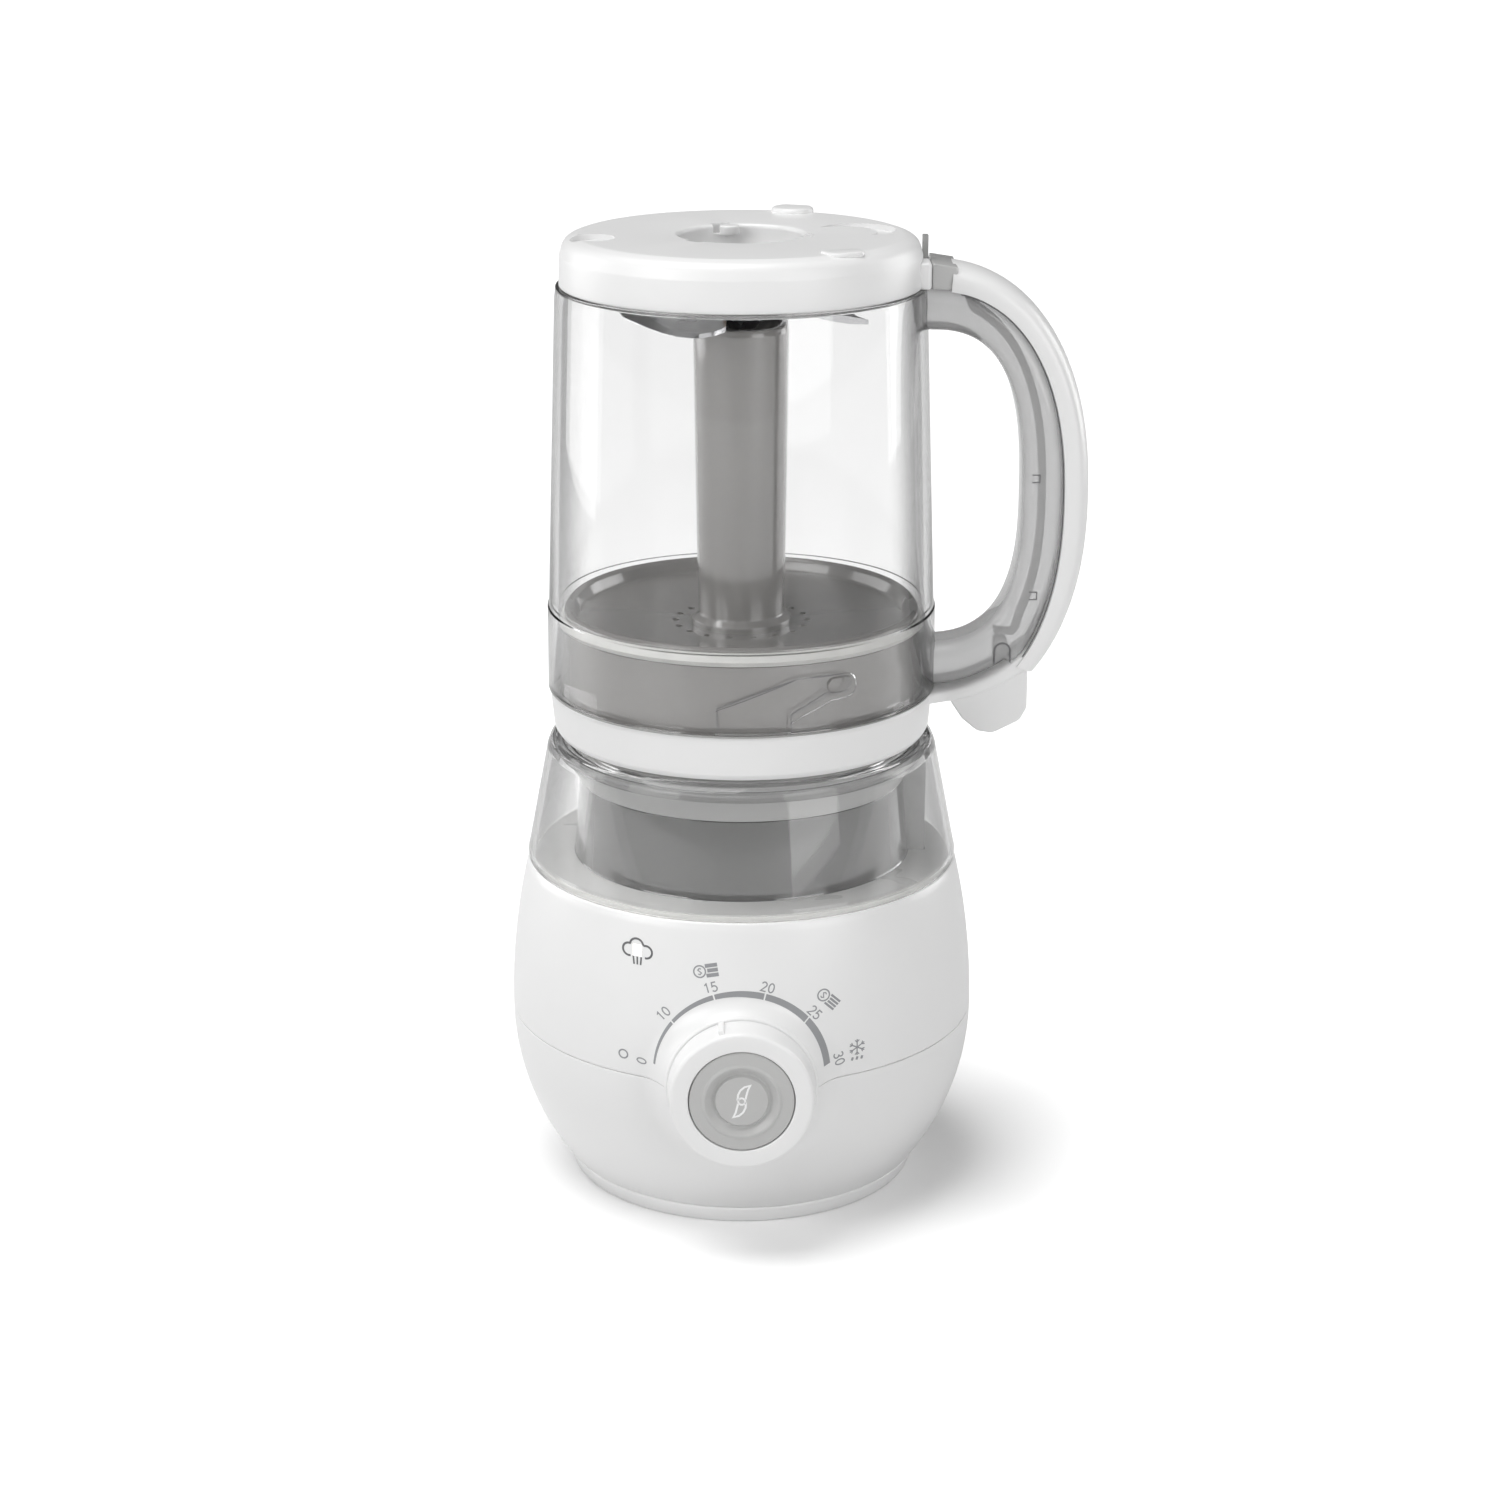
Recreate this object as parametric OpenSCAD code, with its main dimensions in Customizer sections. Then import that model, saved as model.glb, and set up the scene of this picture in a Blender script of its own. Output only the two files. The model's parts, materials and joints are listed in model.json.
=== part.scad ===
// Baby food maker: a steam and blend jar on a round motor base.
// The origin is on the jar's axis at the table, +Z is up, -Y is the front
// and the jar's handle points to +X. All sizes are in millimetres.

/* [Base] */
// Largest radius of the base, at its seam
body_r = 75.4; // [74:0.2:78]
// Height of the seam between the two housing halves
seam_z = 56; // [54:0.5:58]
// Height of the white housing's top edge
deck_z = 107; // [106.5:0.1:107.5]
// Wall of the housing halves
shell_t = 2.6; // [2:0.1:3]
// Height of the foot ring
foot_h = 6.1; // [5:0.1:7]

/* [Tank] */
// Radius of the clear tank at its lower rim
tank_r = 69.3; // [69:0.1:69.5]
// Wall of the clear tank
tank_t = 2.2; // [1.6:0.1:2.4]
// Radius of the motor tower at its foot
tower_r = 54; // [53:0.2:54]

/* [Jar] */
// Radius of the jar at its lower edge
jar_r = 61.85; // [61.6:0.05:62]
// Radius of the jar just under the cap
jar_neck_r = 57.6; // [57.4:0.1:57.8]
// Wall of the jar
jar_t = 2.9; // [2.4:0.1:3]
// Height of the jar's lower edge
jar_z = 164.5; // [164.4:0.1:164.8]
// Height of the cap's lower edge
cap_z = 291.9; // [291:0.1:292.5]
// Height of the cap's flat top
top_z = 307.4; // [307:0.1:308]

/* [Handle] */
// Width of the handle from side to side
handle_w = 24; // [22:0.5:26]
// How far the grip reaches from the jar's axis
handle_reach = 109.2; // [108:0.2:110]

/* [Control] */
// Radius of the timer knob
knob_r = 22.25; // [21:0.25:23]
// Distance of the knob's face from the jar's axis
knob_face = 88; // [87:0.5:90]
// Radius of the blend button
button_r = 16.2; // [15.5:0.1:16.3]
// Turn of the knob's pointer from straight up
pointer_deg = 15.6; // [0:0.1:70]

/* [Hidden] */
$fn = 96;
eps = 0.01;
gap = 0.3;
run = 0.05;
lower_arc = 81.7;
upper_arc = 215;
tower_top = 134.1;
seat_z = 149.2;
lid_z = 149.6;
ring_top = 164.1;
lid_r = 56.8;
rim_z = 191;
collar_z = 190.4;
tube_top = 278.2;
plate_z = 3;
motor_r = 30;
motor_z = 34;
stack_h = 30;
shaft_r = 4;
boiler_y = 50;
boiler_z = 30;
steam_y = 42;
inlet_y = 58;
pipe_r = 3;
gland_z = 18;
gland_deg = 30;
pin_x = 56.7;
pin_t = 1.7;
handle_cx = 58;
handle_cz = 225;
post_x0 = 80.3;
post_x1 = 85;
post_top = 179.3;
unlock_deg = 28;
hole_r = 19.1;
blade_z = 281;
spout_w = 13;
hinge_y = 64.9;
hinge_z = 145.2;

// Outer radius of the white housing at a height
function body_at(z) = z < seam_z
    ? body_r - lower_arc + sqrt(pow(lower_arc, 2) - pow(seam_z - z, 2))
    : body_r - upper_arc + sqrt(pow(upper_arc, 2) - pow(z - seam_z, 2));

// Outer radius of the jar at a height, above its collar
function jar_at(z) = jar_neck_r + (cap_z - z) * (jar_r - jar_neck_r - 0.6) / (cap_z - collar_z);

// Points of a housing's profile from height z0 to z1, moved in by the distance d
function shell_line(z0, z1, d, n) = [for (i = [0:n]) [body_at(z0 + (z1 - z0) * i / n) - d, z0 + (z1 - z0) * i / n]];

// Reverses a list of points
function back(p) = [for (i = [len(p) - 1:-1:0]) p[i]];

// One point of a rounded D outline, with half widths a and b and roundness n
function d_point(t, a, b, n) = [
    handle_cx + a * pow(cos(t), 2 / n),
    handle_cz + (t < 0 ? -1 : 1) * b * pow(abs(sin(t)), 2 / n)];

// The outline from angle t0 to t1, with its own half heights above and below
function d_line(t0, t1, a, up, down, n, steps) = [for (i = [0:steps])
    let (t = t0 + (t1 - t0) * i / steps) d_point(t, a, t < 0 ? down : up, n)];

// The handle's outlines: outer skin, seam between grip and core, cavity and finger gap
function grip_line(d) = d_line(88, -48.5, handle_reach - handle_cx - d, 74.5 - d, 72 - d, 2.24, 36);
function seam_line(d) = d_line(90, -50, 42.9 - d, 66.5 - d, 67 - d, 2.3, 36);
function gap_line(d) = d_line(90, -90, 29.8 + d, 53.5 + d, 46.5 + d, 2.7, 36);

module lathe(points) {
    rotate_extrude() polygon(points);
}

module tube(outer, inner, h) {
    difference() {
        cylinder(r = outer, h = h);
        translate([0, 0, -eps]) cylinder(r = inner, h = h + 2 * eps);
    }
}

// Turns a shape that stands on z = 0 to face the front, on the knob's axis
module on_knob_axis(out) {
    translate([0, -out, seam_z]) rotate([90, 0, 0]) children();
}

// A flat XZ outline, made solid to both sides of the handle's mid plane
module handle_slab(points, w) {
    translate([0, w / 2, 0]) rotate([90, 0, 0]) linear_extrude(w) polygon(points);
}

// A wedge of angle from a0 to a1 that is cut from a turned outline
module turned_wedge(points, a0, a1) {
    rotate([0, 0, a0]) rotate_extrude(angle = a1 - a0) polygon(points);
}

// A coil spring of round wire that stands on z = 0
module coil(r, wire, h, turns) {
    sides = 6;
    steps = 14 * turns;
    rings = [for (i = [0:steps], k = [0:sides - 1])
        let (a = 360 * turns * i / steps, b = 360 * k / sides, q = r + wire * cos(b))
        [q * cos(a), q * sin(a), wire + (h - 2 * wire) * i / steps + wire * sin(b)]];
    walls = [for (i = [0:steps - 1], k = [0:sides - 1])
        let (n = (k + 1) % sides)
        [i * sides + k, (i + 1) * sides + k, (i + 1) * sides + n, i * sides + n]];
    ends = [[for (k = [0:sides - 1]) k], [for (k = [sides - 1:-1:0]) steps * sides + k]];
    polyhedron(rings, concat(walls, ends));
}

// ---- Base ----

module foot_ring() {
    color("white") difference() {
        lathe([[0, plate_z - 0.5], [46, plate_z - 0.5], [50, 0], [56.05, 0], [58.3, foot_h - gap],
            [54, foot_h - gap], [52, plate_z + 2], [0, plate_z + 2]]);
        for (a = [45:90:315]) rotate([0, 0, a]) translate([44, 0, -eps]) {
            cylinder(r = 2.6, h = plate_z + 0.7 + eps);
            cylinder(r = 1.6, h = 9);
        }
        for (x = [-24:8:24]) translate([x - 1.5, -18, 0]) cube([3, 36, 9]);
    }
}

module rubber_feet() {
    color("dimgray") for (a = [0:90:270]) rotate([0, 0, a]) translate([38, 0, 0]) cylinder(r = 6, h = plate_z - 0.5);
}

module lower_housing() {
    bottom = foot_h;
    color("white") difference() {
        union() {
            lathe(concat(shell_line(bottom, seam_z, 0, 14), back(shell_line(bottom + shell_t, seam_z, shell_t, 14)),
                [[52.2, bottom + shell_t], [52.2, bottom]]));
            for (a = [45:90:315]) rotate([0, 0, a]) translate([44, 0, plate_z + 2]) cylinder(r = 4.5, h = 20);
            for (a = [45:90:315]) rotate([0, 0, a]) translate([44, -1.2, bottom]) cube([13, 2.4, 14]);
            intersection() {
                knob_boss();
                translate([-50, -100, 0]) cube([100, 100, seam_z]);
            }
        }
        knob_boss_bore();
        for (a = [45:90:315]) rotate([0, 0, a]) translate([44, 0, 0]) cylinder(r = 1.5, h = 20);
        rotate([0, 0, -gland_deg]) translate([0, 50, gland_z]) rotate([-90, 0, 0]) cylinder(r = 5.2, h = 30);
    }
}

// The raised collar that carries the knob, shared by the two housing halves
module knob_boss() {
    difference() {
        on_knob_axis(65) rotate_extrude() polygon([[9, 0], [29.5, 0], [29.5, 6], [26.5, 9.5], [24.6, 12], [23.6, 13.2],
            [9, 13.2]]);
        cylinder(r = 68.6, h = 2 * seam_z);
    }
}

module knob_boss_bore() {
    on_knob_axis(60) cylinder(r = 9, h = 30);
}

module upper_housing() {
    color("white") difference() {
        union() {
            lathe(concat(shell_line(seam_z, deck_z, 0, 14), [[tank_r - 3, deck_z]],
                [[8.5, deck_z], [8.5, deck_z - shell_t]], back(shell_line(seam_z, deck_z - shell_t, shell_t, 12))));
            intersection() {
                knob_boss();
                translate([-50, -100, seam_z]) cube([100, 100, 50]);
            }
        }
        knob_boss_bore();
        translate([0, steam_y, deck_z - 6]) cylinder(r = pipe_r, h = 12);
        translate([0, inlet_y, deck_z - 6]) cylinder(r = pipe_r, h = 12);
        translate([53, -4, deck_z - 6]) cube([6, 8, 12]);
    }
}

module housing_screws() {
    color("silver") for (a = [45:90:315]) rotate([0, 0, a]) translate([44, 0, 0]) {
        translate([0, 0, plate_z + 0.7]) cylinder(r = 1.5, h = 13);
        translate([0, 0, plate_z - 0.5]) cylinder(r = 2.4, h = 1.2);
    }
}

module cord_gland() {
    color("dimgray") rotate([0, 0, -gland_deg]) translate([0, 54, gland_z]) rotate([-90, 0, 0]) difference() {
        union() {
            cylinder(r = 5.2, h = 19);
            cylinder(r = 7, h = 2);
            translate([0, 0, 16.5]) cylinder(r = 6.2, h = 2.5);
        }
        translate([0, 0, -1]) cylinder(r = 3.4, h = 30);
    }
}

// ---- Water tank and tower ----

module tank_floor() {
    color("lightgray") difference() {
        translate([0, 0, deck_z]) tube(66.4, tower_r + 0.4, 1.7);
        translate([0, inlet_y, deck_z - 2]) cylinder(r = pipe_r, h = 6);
        translate([47, -6, deck_z - 1]) cube([12.5, 12, 4]);
    }
}

module tank_gasket() {
    color("gray") translate([0, 0, deck_z]) tube(67, 66.4, 1.5);
}

// The clear bell with its shoulder, before the spout and pin slots are cut
module bell_solid(d) {
    lathe([[0, deck_z], [tank_r - d, deck_z], [tank_r - d, 109.5], [69 - d, 111], [62.5 - d, 144],
        [61.6 - d, 146.2 - d / 3], [60 - d, 147.7 - d / 2], [0, 148.4 - d]]);
}

module water_tank() {
    color("lightcyan", 0.4) difference() {
        bell_solid(0);
        difference() {
            translate([0, 0, -1]) bell_solid(tank_t);
            translate([0, 0, 142]) cylinder(r = 57.4, h = 20);
        }
        translate([0, 0, deck_z - eps]) cylinder(r = 67, h = 2);
        translate([0, 0, 140]) cylinder(r = 55.4, h = 12);
        translate([-spout_w + 1.5, 55, 122]) cube([2 * spout_w - 3, 20, 21]);
        translate([pin_x - 2.4, -3.6, 140]) cube([5, 7.2, 12]);
    }
}

module filler_spout() {
    color("lightcyan", 0.4) difference() {
        intersection() {
            translate([-spout_w, 50, 116]) cube([2 * spout_w, 24, 28]);
            translate([-40, 0, 0]) rotate([90, 0, 90]) linear_extrude(80)
                polygon([[50, 132], [66, 116], [73.5, 124], [73.5, 144], [50, 144]]);
        }
        bell_solid(0);
        difference() {
            translate([-spout_w + 1.5, 50, 112]) cube([2 * spout_w - 3, 22, 40]);
            translate([-40, 0, 0]) rotate([90, 0, 90]) linear_extrude(80)
                polygon([[50, 100], [50, 134.4], [66, 118.4], [73.5, 126], [80, 126], [80, 100]]);
        }
    }
    color("lightcyan", 0.4) for (s = [-1, 1]) difference() {
        translate([s * 11.6 - 1.4, 63.6, 143]) cube([2.8, 2.6, 4]);
        translate([s * 12 - 5, hinge_y, hinge_z]) rotate([0, 90, 0]) cylinder(r = 0.9 + run, h = 10);
        bell_solid(0);
    }
}

module filler_flap() {
    color("lightgray") {
        translate([-spout_w, 67.4, 144.3]) cube([2 * spout_w, 6.1, 1.8]);
        translate([-9.4, hinge_y, 144.3]) cube([18.8, 4, 1.8]);
        translate([-5, 73, 144.3]) cube([10, 2, 1.8]);
        translate([-12.6, hinge_y, hinge_z]) rotate([0, 90, 0]) cylinder(r = 0.9, h = 25.2);
    }
}

module motor_tower() {
    color("gray") difference() {
        lathe([[tower_r - 2.2, deck_z], [tower_r, deck_z], [tower_r - 1.9, tower_top], [tower_r - 4.1, tower_top]]);
        translate([46, -6, deck_z - 1]) cube([12, 12, 40]);
    }
}

module jar_seat() {
    color("gainsboro") difference() {
        union() {
            lathe([[49, tower_top], [52.4, tower_top], [53.6, 141], [55.3, 143], [55.3, seat_z - 0.4], [54.9, seat_z],
                [18, seat_z], [16, seat_z - 1], [16, 143], [8, 143], [8, tower_top], [10.5, tower_top],
                [10.5, 140.4], [18.5, 140.4], [18.5, seat_z - 2.4], [49, seat_z - 2.4]]);
            translate([0, steam_y, 140]) cylinder(r = 8, h = seat_z - 2.4 - 140);
        }
        translate([0, steam_y, 130]) cylinder(r = pipe_r, h = 30);
        translate([0, steam_y, seat_z - 3]) cylinder(r = 6.5, h = 5);
        translate([47, -6, 130]) cube([12.5, 12, 12]);
        translate([pin_x - 2.4, -3.6, 140]) cube([5, 7.2, 12]);
    }
}

// The closed channel beside the tower that guides the plunger
module interlock_column() {
    color("gainsboro", 0.7) difference() {
        translate([47, -6, deck_z]) cube([12, 12, 34.8]);
        translate([pin_x - 2.1, -3.3, deck_z - 1]) cube([3.3, 6.6, 45]);
        translate([44, -3.3, deck_z + 2]) cube([6, 6.6, 30]);
    }
}

module interlock_plunger() {
    color("white") {
        translate([pin_x - 1.8, -3, 90]) cube([2.7, 6, 53.6]);
        translate([pin_x - 3.4, -4.6, deck_z - shell_t - 2.5]) cube([6, 9.2, 2]);
    }
}

module interlock_switch() {
    color("dimgray") {
        translate([48, -7, 70]) cube([14, 14, 14]);
        translate([53, -1.5, 84]) cube([6, 3, 1.2]);
    }
}

// ---- Motor ----

module motor_mount() {
    color("lightgray") difference() {
        union() {
            translate([0, 0, plate_z + 2]) cylinder(r = motor_r + 2.6, h = 88);
            translate([0, 0, plate_z + 2]) cylinder(r = 37, h = 3);
        }
        translate([0, 0, plate_z]) cylinder(r = motor_r + 0.1, h = 100);
        for (a = [20:40:340]) rotate([0, 0, a]) translate([20, -5, 20]) cube([20, 10, 8]);
    }
}

module motor_stator() {
    color("slategray") translate([0, 0, motor_z]) difference() {
        cylinder(r = motor_r, h = stack_h);
        translate([0, 0, -1]) cylinder(r = 20.2, h = stack_h + 2);
        for (a = [0, 180]) rotate([0, 0, a]) translate([-4, 18, -1]) cube([8, 7.5, stack_h + 2]);
    }
}

module stator_windings() {
    color("peru") {
        for (z = [motor_z - 4, motor_z + stack_h]) translate([0, 0, z]) tube(28, 21, 4);
    }
}

module bracket(z) {
    translate([0, 0, z]) difference() {
        cylinder(r = motor_r, h = 3);
        translate([0, 0, -1]) cylinder(r = shaft_r + run, h = 9);
        for (a = [0:45:315]) rotate([0, 0, a + 22.5]) translate([19, 0, -1]) cylinder(r = 4, h = 9);
    }
    translate([0, 0, z + 3]) tube(9, shaft_r + run, 4);
}

module lower_bracket() {
    color("lightgray") bracket(10);
}

module upper_bracket() {
    color("lightgray") bracket(86);
}

module carbon_brushes() {
    color("dimgray") for (a = [0, 180]) rotate([0, 0, a]) translate([9.3, -2.5, 75]) cube([12.7, 5, 6]);
}

module brush_holders() {
    color("goldenrod") for (a = [0, 180]) rotate([0, 0, a]) difference() {
        translate([14, -4, 73.5]) cube([15.5, 8, 9]);
        translate([8, -2.5, 75]) cube([14, 5, 6]);
    }
}

module motor_rotor() {
    color("slategray") difference() {
        union() {
            translate([0, 0, motor_z]) cylinder(r = 19.6, h = stack_h);
            translate([0, 0, motor_z - 4]) cylinder(r = 16, h = stack_h + 8);
            translate([0, 0, 72]) cylinder(r = 9, h = 12);
            translate([0, 0, 68]) cylinder(r = 7, h = 4);
        }
        cylinder(r = shaft_r, h = 100);
        for (a = [0:30:330]) rotate([0, 0, a]) translate([17.6, -1, motor_z - 1]) cube([3, 2, stack_h + 2]);
    }
}

module motor_shaft() {
    color("silver") translate([0, 0, 8]) cylinder(r = shaft_r, h = 138);
}

module motor_fan() {
    color("white") difference() {
        union() {
            translate([0, 0, 18]) cylinder(r = 8, h = 11);
            translate([0, 0, 18]) cylinder(r = 27, h = 1.6);
            for (a = [0:45:315]) rotate([0, 0, a]) translate([7, -0.8, 19]) cube([19.5, 1.6, 8.5]);
        }
        cylinder(r = shaft_r, h = 100);
    }
}

module drive_coupling() {
    color("dimgray") difference() {
        union() {
            translate([0, 0, 144]) cylinder(r = 9, h = 8);
            for (a = [0:60:300]) rotate([0, 0, a]) translate([7, -1.6, 145]) cube([5, 3.2, 7]);
        }
        translate([0, 0, 140]) cylinder(r = shaft_r, h = 6);
    }
}

module deck_bush() {
    color("goldenrod") translate([0, 0, tower_top]) tube(8, shaft_r + run, 8);
}

// ---- Boiler and steam path ----

module boiler() {
    color("silver") translate([0, boiler_y, boiler_z]) difference() {
        cylinder(r = 15.5, h = 24);
        translate([0, 0, 2]) cylinder(r = 13.5, h = 30);
    }
}

module boiler_lid() {
    color("silver") translate([0, 0, boiler_z + 24]) difference() {
        union() {
            translate([0, boiler_y, 0]) cylinder(r = 15.5, h = 2);
            for (y = [steam_y, inlet_y]) translate([0, y, 2]) cylinder(r = pipe_r + 1.6, h = 4);
        }
        for (y = [steam_y, inlet_y]) translate([0, y, -1]) cylinder(r = pipe_r, h = 9);
    }
}

module boiler_stand() {
    foot = plate_z + 2;
    color("gray") intersection() {
        translate([0, boiler_y, foot]) difference() {
            cylinder(r = 12.2, h = boiler_z - foot);
            translate([0, 0, 2]) cylinder(r = 10.6, h = 40);
            for (a = [0, 90]) rotate([0, 0, a]) translate([-20, -4, 6]) cube([40, 8, 11]);
        }
        lathe(concat([[0, foot], [51.9, foot], [51.9, 9]], shell_line(9, 40, shell_t + gap, 8), [[0, 40]]));
    }
}

module heating_element() {
    color("dimgray") translate([0, boiler_y, boiler_z - 3]) {
        tube(9, 6.5, 3);
        for (x = [-7.7, 7.7]) translate([x, 0, -6]) cylinder(r = 1.2, h = 6);
    }
}

module thermostat() {
    color("silver") translate([0, boiler_y, boiler_z - 5]) {
        cylinder(r = 5.4, h = 5);
        for (x = [-3, 3]) translate([x - 0.4, -1.5, -6]) cube([0.8, 3, 6]);
    }
}

module steam_pipe() {
    color("lightgray") translate([0, steam_y, boiler_z + 24]) tube(pipe_r, 2, seat_z - 4 - boiler_z - 24);
}

module inlet_pipe() {
    color("lightgray") translate([0, inlet_y, boiler_z + 24]) tube(pipe_r, 2, deck_z + 1.7 - boiler_z - 24);
}

module steam_seal() {
    color("gray") translate([0, steam_y, seat_z - 3]) tube(6.5, 2.4, 3);
}

// ---- Controls ----

module control_board() {
    color("darkgreen") difference() {
        translate([-36, -59.5, 86]) cube([60, 21.5, 1.6]);
        for (x = [-33, 21]) translate([x, -41, 80]) cylinder(r = 1.5, h = 12);
    }
    color("dimgray") {
        translate([2, -52, 87.6]) cube([9, 9, 2]);
        translate([-14, -54, 87.6]) cylinder(r = 4, h = 9);
        translate([15, -54, 87.6]) cube([7, 7, 10]);
    }
}

module timer_unit() {
    color("lightgray") difference() {
        translate([-17, -64, seam_z - 17]) cube([34, 14, 34]);
        on_knob_axis(40) cylinder(r = 4.5 + run, h = 40);
    }
}

module blend_switch() {
    color("dimgray") {
        translate([-6, -47.5, seam_z - 10]) cube([12, 7, 20]);
        on_knob_axis(47.5) cylinder(r = 1.2, h = 0.4);
    }
}

module light_guide() {
    color("honeydew", 0.5) rotate([0, 0, -116.7]) translate([58, 0, 96]) rotate([0, 90, 0]) cylinder(r = 3.4, h = 10);
    color("honeydew", 0.5) rotate([0, 0, -116.7]) translate([59, -2.5, 87.6]) cube([4, 5, 5]);
}

module timer_knob() {
    color("white") difference() {
        on_knob_axis(0) rotate_extrude() polygon([[4.5, 68], [7.6, 68], [7.6, 78.6], [knob_r + 0.9, 78.6],
            [knob_r + 0.6, 80], [knob_r, knob_face - 1.2], [knob_r - 0.4, knob_face - 0.35], [knob_r - 1.2, knob_face],
            [button_r + 0.6, knob_face], [button_r + 0.3, knob_face - 0.4], [button_r + 0.3, 81], [4.5, 81]]);
        on_knob_axis(0) rotate([0, 0, 90 + pointer_deg]) translate([knob_r - 1.4, -1.1, 77]) cube([4, 2.2, 5]);
    }
}

module timer_shaft() {
    color("gainsboro") on_knob_axis(50.5) tube(4.5, 2.8, 30.5);
}

module blend_button() {
    color("silver") on_knob_axis(0) {
        rotate_extrude() polygon([[0, 84.6], [button_r - 1.8, 84.6], [button_r - 1.8, 83.6], [button_r, 83.6],
            [button_r, 87.4], [button_r - 0.6, 88], [11.9, 88.2], [11.2, 88.2], [10.6, 87.2], [9.6, 87.2], [9, 87.9],
            [0, 88.1]]);
        translate([0, 0, 51]) cylinder(r = 2.5, h = 33.7);
    }
}

module button_spring() {
    color("silver") on_knob_axis(81) coil(6, 0.4, 3.6, 3);
}

// ---- Lid: the gray insert, its tube and the white ring ----

module lid_base() {
    color("gray") difference() {
        union() {
            lathe([[54.4, 150.8], [55.6, lid_z], [lid_r, 150.8], [lid_r, 185.2], [55.5, 185.2], [55.5, 188.8],
                [lid_r - 0.1, 188.8], [lid_r - 0.3, 190], [56, 190.8], [55.2, rim_z], [54.2, 190.7], [53, 189],
                [52, 186.4], [16.2, 183.6], [16.2, 181.2], [51.4, 184], [54.4, 182]]);
            lug();
        }
        for (a = [0:20:340]) rotate([0, 0, a]) translate([21, 0, 170]) cylinder(r = 1.2, h = 25);
    }
}

// The pill-shaped lug that runs in the jar's track
module lug() {
    intersection() {
        rotate([0, 0, -58.4]) translate([lid_r - 2, 0, 177.6]) rotate([0, 90, 0]) union() {
            translate([0, -2.1, 0]) cylinder(r = 2.4, h = 6);
            translate([0, 2.1, 0]) cylinder(r = 2.4, h = 6);
            translate([-2.4, -2.1, 0]) cube([4.8, 4.2, 6]);
        }
        difference() {
            cylinder(r = lid_r + 0.8, h = 200);
            translate([0, 0, -1]) cylinder(r = lid_r - 1, h = 202);
        }
    }
}

module lid_plate() {
    color("gray") difference() {
        union() {
            lathe([[20.4, 153], [20.4, 151], [22.6, 151], [22.6, 153], [54.3, 153], [54.3, 155], [22.6, 155],
                [22.6, 162], [0, 162], [0, 159.8], [20.4, 159.8]]);
            translate([0, steam_y, 149.8]) tube(6, 3.2, 5);
        }
        translate([0, steam_y, 140]) cylinder(r = 3.2, h = 30);
    }
}

module steam_tube() {
    color("gray") lathe([[11.4, 176], [13.6, 176], [13.6, 181.1], [16.1, 181.1], [16.1, 185.4], [13.8, 187],
        [14.3, 227], [14.9, tube_top - 3], [14.3, tube_top], [12.3, tube_top], [11.9, 227], [11.4, 187]]);
}

module lid_seal() {
    color("whitesmoke") lathe([[55.6, 185.35], [57, 185.35], [57.8, 186.3], [58.3, 187], [57.8, 187.7], [57, 188.65],
        [55.6, 188.65]]);
}

// Outline of the arm under the handle, from the ring outwards
function arm_top(x) = 163.9 + 0.0142 * pow(x - 60, 2);
function arm_low(x) = 159.3 + 0.0125 * pow(x - 60, 2);
arm_line = concat([for (i = [0:8]) [60 + 3.6 * i, arm_top(60 + 3.6 * i)]], [[92.2, 172.2]],
    [for (i = [8:-1:0]) [60 + 3.85 * i, arm_low(60 + 3.85 * i)]]);

// Space round the arm that the handle keeps clear of while the jar turns
arm_clear = concat([for (x = [54:4:86]) [x, arm_top(x) + 0.6]], [[89.3, 176.8], [93, 172.8], [93, 150], [54, 150]]);

module lock_ring() {
    color("white") {
        lathe([[lid_r + 0.05, 150.8], [57.8, 149.7], [58.6, 149.7], [59.6, 150.3], [60.1, 151.6], [61.1, 162.6],
            [61, 163.6], [60.4, ring_top], [lid_r + 0.05, ring_top]]);
        difference() {
            intersection() {
                rotate_extrude() polygon(arm_line);
                translate([50, -handle_w / 2 + 0.6, 140]) cube([60, handle_w - 1.2, 60]);
            }
            translate([0, 0, 140]) cylinder(r = 60.3, h = 60);
        }
        translate([0, 8, 0]) rotate([90, 0, 0]) linear_extrude(16) polygon(concat([[67.3, 160.3], [68.9, 155.4], [71, 152.4],
            [74, 150], [78.1, 148.5], [84, 150], [89, 153.2], [90.9, 157], [91.2, 166], [90.6, 171.6]],
            [for (x = [88:-4:68]) [x, arm_low(x) + 0.8]]));
        lock_post();
    }
}

// The post that lifts the interlock rod, with its top rounded
module lock_post() {
    mid = (post_x0 + post_x1) / 2;
    half = (post_x1 - post_x0) / 2;
    translate([0, 3, 0]) rotate([90, 0, 0]) linear_extrude(6) union() {
        translate([post_x0, 166]) square([2 * half, post_top - half - 166]);
        translate([mid, post_top - half]) circle(half);
    }
}

// ---- Jar ----

module jar_wall() {
    inside = jar_t;
    color("white", 0.3) difference() {
        lathe([[jar_r - inside, jar_z], [jar_r, jar_z], [jar_at(collar_z) + 0.35, collar_z],
            [jar_at(collar_z), collar_z + 0.4], [jar_at(288), 288], [jar_neck_r - 0.3, cap_z - 0.4],
            [53.4, cap_z - 0.4], [53.4, 301], [50.8, 301], [50.8, 290.2],
            [jar_at(289) - inside, 289], [jar_at(collar_z) - inside + 0.3, collar_z]]);
        track();
    }
}

// The shallow track in the jar's wall: an open mouth below, a ramp and a rest for the lug
module track() {
    intersection() {
        difference() {
            cylinder(r = jar_r - jar_t + 0.5, h = 400);
            translate([0, 0, -1]) cylinder(r = 40, h = 402);
        }
        translate([0, -40, 0]) rotate([90, 0, 0]) linear_extrude(30)
            polygon([[-8, jar_z - 1], [-8, 172], [17, 181.6], [34, 181.6], [35, 174], [27, 173.6], [15, 168], [15, jar_z - 1]]);
    }
}

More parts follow.
